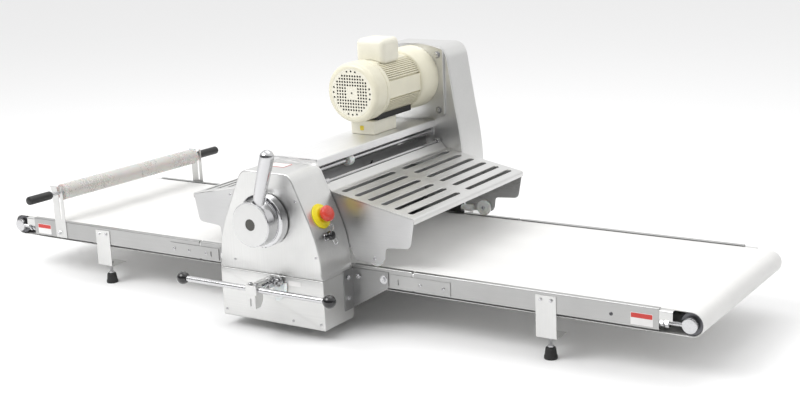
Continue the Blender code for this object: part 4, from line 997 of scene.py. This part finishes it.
def make_shift_hub(y, z):
    """Shaft, clamp with its bolt, keyhole hanger and nut."""
    clamp = block("clamp", (-0.0158, y - 0.0118, z - 0.0115), (0.0158, y + 0.0118, z + 0.0115), 0.0018)
    cut(clamp, bar("bar_bore", 0.0071, (-0.03, y, z), (0.03, y, z), 0, 32))
    keyhole = [stadium((-0.0020, z - 0.0290), 0.019, 0.0045), ring((-0.0020, z - 0.0215), 0.0036)]
    outline = rounded([(-0.0148, z - 0.0445), (0.0118, z - 0.0445), (0.0118, z - 0.0105), (-0.0148, z - 0.0105)],
                      0.003, True)
    front = plate("hanger_front", [outline, keyhole[0]], y - 0.0109, y - 0.0091, "XZ", 0.0003)
    wings = []
    for x in (-0.0148, 0.0102):
        side = rounded([(y - 0.0100, z - 0.0105), (y - 0.0100, z - 0.0435), (y + 0.0080, z - 0.0435),
                        (y + 0.0180, z - 0.0280), (y + 0.0180, z - 0.0105)], 0.003, True)
        wings.append(plate("hanger_wing", [side], x, x + 0.0016, "YZ", 0.0003))
    show(merge("shift_clamp", clamp, front, *wings), STEEL_Z, "shift_control", ["shift_hub"])
    shaft = [(0, -0.325), (0.0080, -0.325), (0.0080, -0.388), (0.0135, -0.3895), (0.0140, -0.391),
             (0.0140, -0.4065), (0.0130, -0.408), (0.0082, -0.4085), (0.0082, y + 0.0120), (0, y + 0.0120)]
    show(lathe("shift_shaft", shaft, (0, 0, z), (0, 1, 0), 40), CHROME, "shift_control", slot="polished_steel")
    nut = Vector((0.0270, -0.3950, z + 0.0060))
    boss = lathe("lock_boss", [(0, 0.014), (0.0060, 0.014), (0.0068, 0.0125), (0.0068, 0.0095), (0.0125, 0.0090),
                               (0.0132, 0.0080), (0.0132, 0.0022), (0.0122, 0.0010), (0, 0.0010)],
                 (nut.x, FRONT_Y - 0.0010, nut.z), (0, -1, 0), 12)
    show(boss, CHROME, "frame", slot="polished_steel")
    link = plate("shift_link", [rounded([(-0.0070, z + 0.0060), (0.0065, z + 0.0060), (0.0065, z + 0.0135),
                                         (-0.0070, z + 0.0135)], 0.002, True, 3)], y + 0.0100, -0.3900)
    show(link, STEEL_Y, "shift_control", slot="brushed_steel")
    fasteners("shift_clamp_bolts", hex_head, 0.0050,
              [((-0.0080, y, z + 0.0113), (0, 0, 1)), ((0.0085, y, z + 0.0113), (0, 0, 1))], "shift_control", CHROME)
    note = rounded([(0.052, z - 0.0020), (0.088, z - 0.0020), (0.088, z + 0.0100), (0.052, z + 0.0100)], 0.002, True)
    show(plate("blank_note", [note], BASE_LOW.y - 0.0004, BASE_LOW.y - 0.0001, "XZ", 0.0001), LABEL_WHITE, "frame")
    sector = arc((0.004, z), 0.046, -76, 4, 10) + arc((0.004, z), 0.0125, 4, -76, 8)
    plate_y = BASE_LOW.y - 0.0035
    show(plate("sector_plate", [rounded(sector, 0.003, True, 2)], plate_y, plate_y + 0.0020), NYLON, "frame",
         slot="white_nylon")
    fasteners("sector_screws", pan_head, 0.0030,
              [((0.033 * math.cos(math.radians(a)), plate_y, z + 0.033 * math.sin(math.radians(a))), (0, -1, 0))
               for a in (-55, 0)], "frame")


def axis_of(name):
    """A joint's point, in the machine frame, and its direction."""
    joint = next(j for j in frame["joints"] if j["name"] == name)
    direction = Vector(joint["axis"])
    point = Vector(joint["pos_m"]) - Vector((0, MID, 0)) if "pos_m" in joint else None
    return point, direction


def make_stop():
    low, high = box_of("stop_collar")
    outward = -axis_of("stop_press")[1]
    radius = (high.y - low.y) / 2
    seat = Vector((low.x + radius * outward.z, (low.y + high.y) / 2, low.z + radius * outward.x))
    collar = [(0.0098, 0.0066), (0.0188, 0.0066), (0.0200, 0.0060), (0.0215, 0.0048), (radius - 0.0030, 0.0034),
              (radius - 0.0008, 0.0025), (radius, 0.0012), (radius, 0.0), (0.0098, 0.0), (0.0098, 0.0066)]
    show(lathe("stop_ring", collar, seat, outward, 72), YELLOW, "frame", ["stop_collar"], sharp=30)
    button = [(0, 0.0310), (0.0060, 0.0309), (0.0118, 0.0302), (0.0158, 0.0287), (0.0182, 0.0262), (0.0190, 0.0235),
              (0.0188, 0.0200), (0.0182, 0.0152), (0.0172, 0.0138), (0.0150, 0.0136), (0.0085, 0.0136),
              (0.0085, 0.0070), (0, 0.0070)]
    show(lathe("stop_mushroom", button, seat, outward, 64), RED, "stop", ["stop_button"], sharp=50)


def make_knob():
    seat, outward = axis_of("knob_turn")
    hub = [(0, 0.0172), (0.0060, 0.0170), (0.0090, 0.0160), (0.0107, 0.0140), (0.0112, 0.0100), (0.0110, 0.0045),
           (0.0095, 0.0), (0, 0)]
    show(lathe("knob_hub", hub, seat, outward, 40), BLACK, "knob", ["wing_knob"])
    base = Matrix.Translation(seat) @ outward.to_track_quat("Z", "Y").to_matrix().to_4x4()
    loops = []
    for turn in (60, 180, 300):
        shape = rounded([(0.0062, -0.0030), (0.0255, -0.0082), (0.0262, 0.0082), (0.0062, 0.0030)], 0.006, True, 5)
        curve = bpy.data.curves.new("wing", "CURVE")
        curve.dimensions = "3D"
        curve.bevel_depth = 0.0012
        curve.bevel_resolution = 3
        spline = curve.splines.new("POLY")
        spline.points.add(len(shape) - 1)
        place = base @ Matrix.Rotation(math.radians(turn), 4, "Z")
        for point, (u, v) in zip(spline.points, shape):
            point.co = (*(place @ Vector((u, v, 0.0100))), 1)
        spline.use_cyclic_u = True
        guide = bpy.data.objects.new("wing", curve)
        bpy.context.scene.collection.objects.link(guide)
        mesh = evaluated_mesh(guide)
        bpy.data.objects.remove(guide)
        wing = bpy.data.objects.new("wing", mesh)
        bpy.context.scene.collection.objects.link(wing)
        loops.append(wing)
    show(merge("knob_wings", *loops), CHROME, "knob", slot="polished_steel")


# ---------------------------------------------------------------- guards
PIVOT = (0.080, 0.348)
BEND_POINT = (0.100, 0.327)
EDGE_POINT = (0.328, 0.283)


def cheek_outline():
    outline = [(BEND_POINT[0] - 0.001, BEND_POINT[1] - 0.0012), (EDGE_POINT[0], EDGE_POINT[1] - 0.0008)]
    outline += bend((0.3175, 0.226), (0.3155, 0.213), (0.304, 0.2115), 8)
    outline += bend((0.256, 0.2078), (0.2475, 0.207), (0.2470, 0.1985), 6)
    outline += bend((0.2455, 0.188), (0.244, 0.170), (0.228, 0.1670), 8)
    outline += [(0.163, 0.1665), (0.102, 0.300)]
    return outline


def make_guard(side, label):
    body = "guard_" + label
    low, high = box_of(body)
    reach = high.y
    section = [(PIVOT[0] + 0.004, PIVOT[1] - 0.0042), BEND_POINT, EDGE_POINT,
               (EDGE_POINT[0] - 0.0005, EDGE_POINT[1] - 0.011)]
    section = rounded(flip(section, side), 0.004, False, 4)
    sheet = folded("guard_sheet", section, -reach, reach, 0.002, "XZ", side)
    slope = math.atan2(BEND_POINT[1] - EDGE_POINT[1], EDGE_POINT[0] - BEND_POINT[0])
    cutters = []
    for row in (-1, 1):
        for column in range(6):
            x = 0.119 + 0.0367 * column
            z = BEND_POINT[1] - (x - BEND_POINT[0]) * math.tan(slope)
            tool = plate("slot", [stadium((0, 0), 0.2245, 0.015)], -0.010, 0.010, "XY", 0.0)
            tool.data.transform(Matrix.Translation((side * x, row * 0.1307, z)) @ Matrix.Rotation(side * slope, 4, "Y"))
            cutters.append(tool)
    cut(sheet, merge("slots", *cutters))
    show(sheet, STEEL_Y, body, [body])
    cheeks, knuckles = [], []
    for end in (-1, 1):
        near, far = sorted((end * (reach - 0.0020), end * reach))
        cheeks.append(plate("cheek", [flip(cheek_outline(), side)], near, far, "XZ", 0.0004))
        knuckles.append(lathe("knuckle", [(0.0044, 0.008), (0.0072, 0.008), (0.0078, 0.0074), (0.0078, -0.0074),
                                          (0.0072, -0.008), (0.0044, -0.008), (0.0044, 0.008)],
                              (side * PIVOT[0], end * 0.2540, PIVOT[1]), (0, 1, 0), 32))
    show(merge("guard_cheeks_" + label, *cheeks), MIRROR_X, body, slot="polished_steel")
    show(merge("guard_knuckles_" + label, *knuckles), TURNED, body, slot="brushed_steel")
    wheel_x, wheel_z = side * 0.216, axis_of("wheel_%s_front_spin" % label)[0].z
    for end, place in ((-1, "front"), (1, "rear")):
        wheel_low, wheel_high = box_of("guard_wheel_%s_%s" % (label, place))
        radius, y = (wheel_high.z - wheel_low.z) / 2, (wheel_low.y + wheel_high.y) / 2
        profile = [(0.0043, 0.0045), (0.0085, 0.0045), (0.0090, 0.0036), (0.0155, 0.0036), (0.0160, 0.0045),
                   (radius - 0.0012, 0.0045), (radius, 0.0033)]
        profile += [(r, -h) for r, h in reversed(profile)]
        profile.append(profile[0])
        show(lathe("nylon_wheel_%s_%s" % (label, place), profile, (wheel_x, y, wheel_z), (0, 1, 0), 48), NYLON,
             "wheel_%s_%s" % (label, place), ["guard_wheel_%s_%s" % (label, place)])
    axles = [bar("axle", 0.0040, (wheel_x, end * 0.2482, wheel_z), (wheel_x, end * (reach - 0.001), wheel_z), 0.0003)
             for end in (-1, 1)]
    show(merge("wheel_axles_" + label, *axles), TURNED, body, slot="brushed_steel")
    fasteners("wheel_screws_" + label, pan_head, 0.0046,
              [((wheel_x, end * reach, wheel_z), (0, end, 0)) for end in (-1, 1)]
              + [((wheel_x, end * 0.2492, wheel_z), (0, -end, 0)) for end in (-1, 1)], body)


# ---------------------------------------------------------------- tables
RAIL_LOW, RAIL_TOP = 0.1105, 0.158


def rail_sections(y_side):
    """The C section of a rail on one side, outer face first."""
    outer = box_of("table_frame_right")[1].y - 0.002
    lip = outer - 0.012
    section = [(lip, RAIL_TOP), (outer, RAIL_TOP), (outer, RAIL_LOW), (lip, RAIL_LOW)]
    return rounded([(y_side * a, b) for a, b in section], 0.003, False, 4)


def make_table(side, label):
    low, high = box_of("table_frame_" + label)
    rail_start, rail_end = 0.156, 0.920
    outer = high.y - 0.002
    rails, straps, marks = [], [], []
    for y in (-1, 1):
        for first, last in ((rail_start, 0.3175), (0.3225, rail_end)):
            near, far = sorted((side * first, side * last))
            rails.append(folded("rail", rail_sections(y), near, far, 0.002, "YZ", y))
        near, far = sorted((side * 0.2580, side * 0.4200))
        slotted = stadium((side * 0.282, 0.130), 0.014, 0.0055)
        outline = rounded([(near, 0.1140), (far, 0.1140), (far, 0.1465), (near, 0.1465)], 0.002, True)
        inner, outer_face = sorted((y * (outer + 0.0001), y * (outer + 0.0020)))
        straps.append(plate("strap", [outline, slotted], inner, outer_face, "XZ", 0.0003))
    show(soften(merge("rails_" + label, *rails), 0.0003, 1), RAIL_STEEL, "frame", ["table_frame_" + label])
    show(merge("splice_straps_" + label, *straps), RAIL_STEEL, "frame", slot="brushed_steel")
    make_bed(side, label)
    make_belt(side, label)
    make_tensioner(side, label)
    make_rail_details(side, label, outer)


def make_bed(side, label):
    """The slider bed, folded down at both edges, inside the belt."""
    inner = box_of("table_frame_right")[1].y - 0.0043
    top = 0.1532
    near, far = sorted((side * 0.098, side * 0.950))
    section = rounded([(-inner, 0.133), (-inner, top), (inner, top), (inner, 0.133)], 0.002)
    bed = folded("slider_bed_" + label, section, near, far, 0.0014, "YZ", -1)
    show(bed, STEEL_X, "frame", slot="brushed_steel")


def make_belt(side, label):
    low, high = box_of("belt_" + label)
    outer = (high.z - low.z) / 2
    middle = (high.z + low.z) / 2
    drive = box_of("drive_roller_" + label)
    end = box_of("end_roller_" + label)
    first = ((drive[0].x + drive[1].x) / 2, middle)
    last = ((end[0].x + end[1].x) / 2, middle)
    left, right = (first, last) if side > 0 else (last, first)
    outlines = [loop_round(left, right, outer), loop_round(left, right, outer - 0.002)]
    show(plate("conveyor_belt_" + label, outlines, low.y, high.y, "XZ", 0.0005), BELT, "frame", ["belt_" + label])


def make_tensioner(side, label):
    end = box_of("end_roller_" + label)
    x, z = (end[0].x + end[1].x) / 2, (end[0].z + end[1].z) / 2
    cap = 0.262
    shaft = [(0, cap), (0.0145, cap), (0.0165, cap - 0.0010), (0.0170, cap - 0.0025), (0.0170, 0.2530), (0.0160, 0.2520),
             (0.010, 0.2520)]
    profile = shaft + [(radius, -height) for radius, height in reversed(shaft)]
    shafts = lathe("shaft", profile, (x, 0, z), (0, 1, 0), 56)
    show(shafts, TURNED, "frame", slot="polished_steel").name = "tension_shaft_" + label
    rods, nuts = [], []
    for y in (-0.257, 0.257):
        turns = 26
        start, stop = 0.905, abs(x) - 0.012
        thread = []
        for i in range(turns):
            a = start + (stop - start) * i / turns
            b = start + (stop - start) * (i + 0.5) / turns
            thread += [(0.0049, a), (0.0043, b)]
        rods.append(lathe("thread", [(0, start)] + thread + [(0.0043, stop), (0, stop)], (0, y, z), (side, 0, 0), 24))
        for place, width in ((0.9215, 0.0095), (0.9330, 0.0110)):
            bm = bmesh.new()
            bmesh.ops.create_cone(bm, cap_ends=True, segments=6, radius1=width, radius2=width, depth=0.0085)
            bmesh.ops.bevel(bm, geom=[e for e in bm.edges], offset=0.0006, segments=2, affect="EDGES")
            turn = Matrix.Translation((side * (place + 0.0043), y, z)) @ Matrix.Rotation(math.radians(90), 4, "Y")
            bmesh.ops.transform(bm, matrix=turn, verts=bm.verts)
            nuts.append(from_bmesh("nut", bm))
    show(merge("tension_rods_" + label, *rods), TURNED, "frame", slot="brushed_steel")
    show(merge("tension_nuts_" + label, *nuts), CHROME, "frame", slot="polished_steel")


def sticker(name, low, high, y, band, body="frame"):
    """A blank two-tone sticker on a face that looks along -Y or +Y."""
    near, far = sorted((y, y + math.copysign(0.0003, y)))
    sheet = rounded([(low[0], low[1]), (high[0], low[1]), (high[0], high[1]), (low[0], high[1])], 0.0015, True, 2)
    show(plate(name, [sheet], near, far, "XZ", 0.0001), LABEL_WHITE, body)
    split = high[1] - (high[1] - low[1]) * band
    top = rounded([(low[0] + 0.001, split), (high[0] - 0.001, split), (high[0] - 0.001, high[1] - 0.001),
                   (low[0] + 0.001, high[1] - 0.001)], 0.001, True, 2)
    step = math.copysign(0.0002, y)
    near, far = sorted((y + step, y + math.copysign(0.0003, y) + step))
    show(plate(name + "_band", [top], near, far, "XZ", 0.00005), LABEL_RED, body)


def make_rail_details(side, label, outer):
    face = outer + 0.0020
    screws = []
    for y in (-1, 1):
        for x in ((0.340, 0.402) if side > 0 else (0.300, 0.356, 0.406)):
            screws.append(((side * x, y * face, 0.130), (0, y, 0)))
    fasteners("strap_screws_" + label, pan_head, 0.0042, screws, "frame")
    holes = []
    for y in (-1, 1):
        holes.append(((side * 0.813, y * outer, 0.131), (0, y, 0)))
    fasteners("rail_rivets_" + label, pan_head, 0.0040, holes, "frame", DARK_STEEL)
    near, far = sorted((side * 0.857, side * 0.907))
    sticker("rail_label_" + label, (near, 0.1155), (far, 0.1425), -outer, 0.42)


def make_legs(side, label):
    x = side * abs(axis_of("foot_%s_front_turn" % label)[0].x)
    for end, place in ((-1, "front"), (1, "rear")):
        node = "leg_bracket_%s_%s" % (label, place)
        low, high = box_of(node)
        outer = high.y if end > 0 else -low.y
        inner = low.y if end > 0 else -high.y
        section = rounded([(end * outer, high.z), (end * outer, low.z), (end * inner, low.z)], 0.004, False, 5)
        bracket = folded("bracket", section, low.x, high.x, 0.002, "YZ", end)
        foot = axis_of("foot_%s_%s_turn" % (label, place))[0]
        cut(bracket, bar("hole", 0.0046, (foot.x, foot.y, low.z - 0.01), (foot.x, foot.y, low.z + 0.01), 0, 20))
        show(soften(bracket, 0.0003, 1), STEEL_Z, "frame", [node]).name = "leg_angle_%s_%s" % (label, place)
        make_foot(foot.x, foot.y, "levelling_foot_%s_%s" % (label, place), low.z)
        fasteners("leg_bolts_%s_%s" % (label, place), hex_head, 0.0042,
                  [((x + step, end * outer, 0.140), (0, end, 0)) for step in (-0.0125, 0.0125)], "frame")


def make_foot(x, y, node, flange):
    body = BODY_OF[node]
    rubber = [(0, 0.0265), (0.0100, 0.0265), (0.0113, 0.0255), (0.0118, 0.0240), (0.0122, 0.0215), (0.0138, 0.0090),
              (0.0150, 0.0075), (0.0153, 0.0050), (0.0153, 0.0012), (0.0145, 0.0), (0, 0)]
    show(lathe("rubber_foot_" + body, rubber, (x, y, 0), (0, 0, 1), 48), RUBBER, body, [node])
    thread = []
    turns = 24
    start, stop = 0.0265, 0.0675
    for i in range(turns):
        a = start + (stop - start) * i / turns
        thread += [(0.0040, a), (0.0036, a + (stop - start) / turns / 2)]
    stem = lathe("stem", [(0, start)] + thread + [(0.0036, stop), (0, stop)], (x, y, 0), (0, 0, 1), 20)
    nuts = []
    for height, thick in ((0.0268, 0.0042), (flange + 0.0025, 0.0042)):
        bm = bmesh.new()
        bmesh.ops.create_cone(bm, cap_ends=True, segments=6, radius1=0.0075, radius2=0.0075, depth=thick)
        bmesh.ops.bevel(bm, geom=[e for e in bm.edges], offset=0.0005, segments=2, affect="EDGES")
        bmesh.ops.translate(bm, vec=(x, y, height + thick / 2), verts=bm.verts)
        nuts.append(from_bmesh("nut", bm))
    show(merge("stem_" + body, stem, *nuts), TURNED, body, slot="brushed_steel")


def make_head_brackets(side, label):
    for end, place in ((-1, "front"), (1, "rear")):
        node = "head_bracket_%s_%s" % (label, place)
        low, high = box_of(node)
        flank = low.x if side > 0 else -high.x
        far = high.x if side > 0 else -low.x
        inner = box_of("table_frame_right")[1].y - 0.002 + 0.0004
        outline = [(flank, low.z), (flank, high.z), (far, high.z), (far, 0.122)]
        outline += bend((far, 0.116), (0.2520, 0.110), (0.2440, 0.1055), 6)
        near_y, far_y = sorted((end * inner, end * (inner + 0.002)))
        web = plate("web", [flip(outline, side)], near_y, far_y, "XZ", 0.0004)
        flange_x = sorted((side * flank, side * (flank + 0.002)))
        reach = high.y if end > 0 else -low.y
        flange_y = sorted((end * inner, end * reach))
        flange = block("flange", (flange_x[0], flange_y[0], low.z), (flange_x[1], flange_y[1], high.z), 0.0004, 2)
        show(merge("head_angle_%s_%s" % (label, place), web, flange), SHADE_X, "frame", [node])
        outside = end * (inner + 0.002)
        fasteners("head_web_washers_%s_%s" % (label, place), washer, 0.0105,
                  [((side * 0.240, outside, 0.131), (0, end, 0))], "frame")
        fasteners("head_web_bolts_%s_%s" % (label, place), hex_head, 0.0064,
                  [((side * 0.240, outside + end * 0.0012, 0.131), (0, end, 0)),
                   ((side * 0.171, outside, 0.131), (0, end, 0))], "frame", CHROME)
        fasteners("head_flange_bolts_%s_%s" % (label, place), hex_head, 0.0062,
                  [((side * (flank + 0.002), end * 0.291, z), (side, 0, 0)) for z in (0.082, 0.132)], "frame", CHROME)


# ---------------------------------------------------------------- rolling pin
def make_pin():
    centre, along = axis_of("pin_tube_spin")
    grip = [(0, 0.360), (0.0070, 0.3598), (0.0100, 0.3585), (0.0113, 0.3560)]
    ribs = 26
    for i in range(ribs):
        h = 0.354 - (0.354 - 0.288) * i / (ribs - 1)
        grip += [(0.0116, h), (0.0112, h - 0.0012)]
    grip += [(0.0110, 0.2855), (0.0088, 0.2822), (0.0040, 0.2822)]
    slid = centre - along * 0.012
    halves = [lathe("grip", [(r, h) for r, h in grip], slid, direction, 40) for direction in (along, -along)]
    show(merge("pin_grips", *halves), GRIP, "pin", ["pin_axle"])
    show(bar("pin_rod", 0.0045, slid - along * 0.286, slid + along * 0.286), CHROME, "pin", slot="polished_steel")
    half = 0.253
    tube = [(0.0055, half), (0.0205, half), (0.0218, half - 0.0008), (0.0220, half - 0.0022), (0.0220, 0.0022 - half),
            (0.0218, 0.0008 - half), (0.0205, -half), (0.0055, -half), (0.0055, half)]
    show(lathe("pin_roller", tube, centre - along * 0.004, along, 64), TUBE, "pin_sleeve", ["pin_tube"])
    for node in ("pin_fork_front", "pin_fork_rear"):
        make_fork(node, centre)


def make_fork(node, pin):
    low, high = box_of(node)
    x = high.x - 0.0155
    z = pin.z
    mouth = arc((x, z), 0.0050, 0, -55, 5)
    outline = [(x + 0.0155, low.z), (x + 0.0125, high.z), (x + 0.0065, high.z)] + mouth
    outline += [(x + 0.0030, 0.1660), (x + 0.0015, 0.1625), (x - 0.0015, 0.1625), (x - 0.0030, 0.1660)]
    outline += [(2 * x - across, up) for across, up in reversed(mouth)]
    outline += [(x - 0.0068, high.z)] + bend((x - 0.0320, high.z), (x - 0.0290, 0.244), (x - 0.0258, 0.234), 4)
    outline += [(x - 0.0245, low.z)]
    fork = plate("fork_" + node[-5:].strip("_"), [outline], low.y, high.y, "XZ", 0.0003)
    show(fork, STEEL_Z, "frame", [node])
    end = 1 if low.y > 0 else -1
    face = high.y if end > 0 else low.y
    fasteners("bolt_" + node, hex_head, 0.0055, [((x - 0.011, face, 0.1250), (0, end, 0))], "frame", CHROME)


# ---------------------------------------------------------------- small fittings
def make_limit_switch():
    """A switch body with its plunger, behind the right guard."""
    body = block("switch", (0.113, 0.2440, 0.1620), (0.150, 0.2640, 0.1850), 0.0015)
    show(body, RUBBER, "frame", slot="black_plastic").name = "limit_switch"
    plunger = [(0, 0.034), (0.0075, 0.034), (0.0090, 0.0325), (0.0090, 0.012), (0.0070, 0.010), (0.0070, 0), (0, 0)]
    show(lathe("switch_plunger", plunger, (0.1500, 0.2530, 0.1745), (1, 0, 0), 40), NYLON, "frame",
         slot="white_nylon")


# ---------------------------------------------------------------- assembly
make_camera()
make_world()
make_floor()
make_light("key", (-1.2, -2.4, 3.0), (0, 0, 0.2), (2.4, 1.8), 80)
make_light("top", (0.3, 0.6, 3.2), (0.2, 0, 0.2), (3.0, 2.0), 24)
make_covers()
make_side_plates()
make_base()
make_bridge()
make_rollers()
make_kept()
make_motor()
make_gap_control()
make_shift_control()
make_stop()
make_knob()
for side, label in ((-1, "left"), (1, "right")):
    make_guard(side, label)
    make_table(side, label)
    make_legs(side, label)
    make_head_brackets(side, label)
make_pin()
make_limit_switch()

bpy.context.scene.view_settings.view_transform = "Standard"
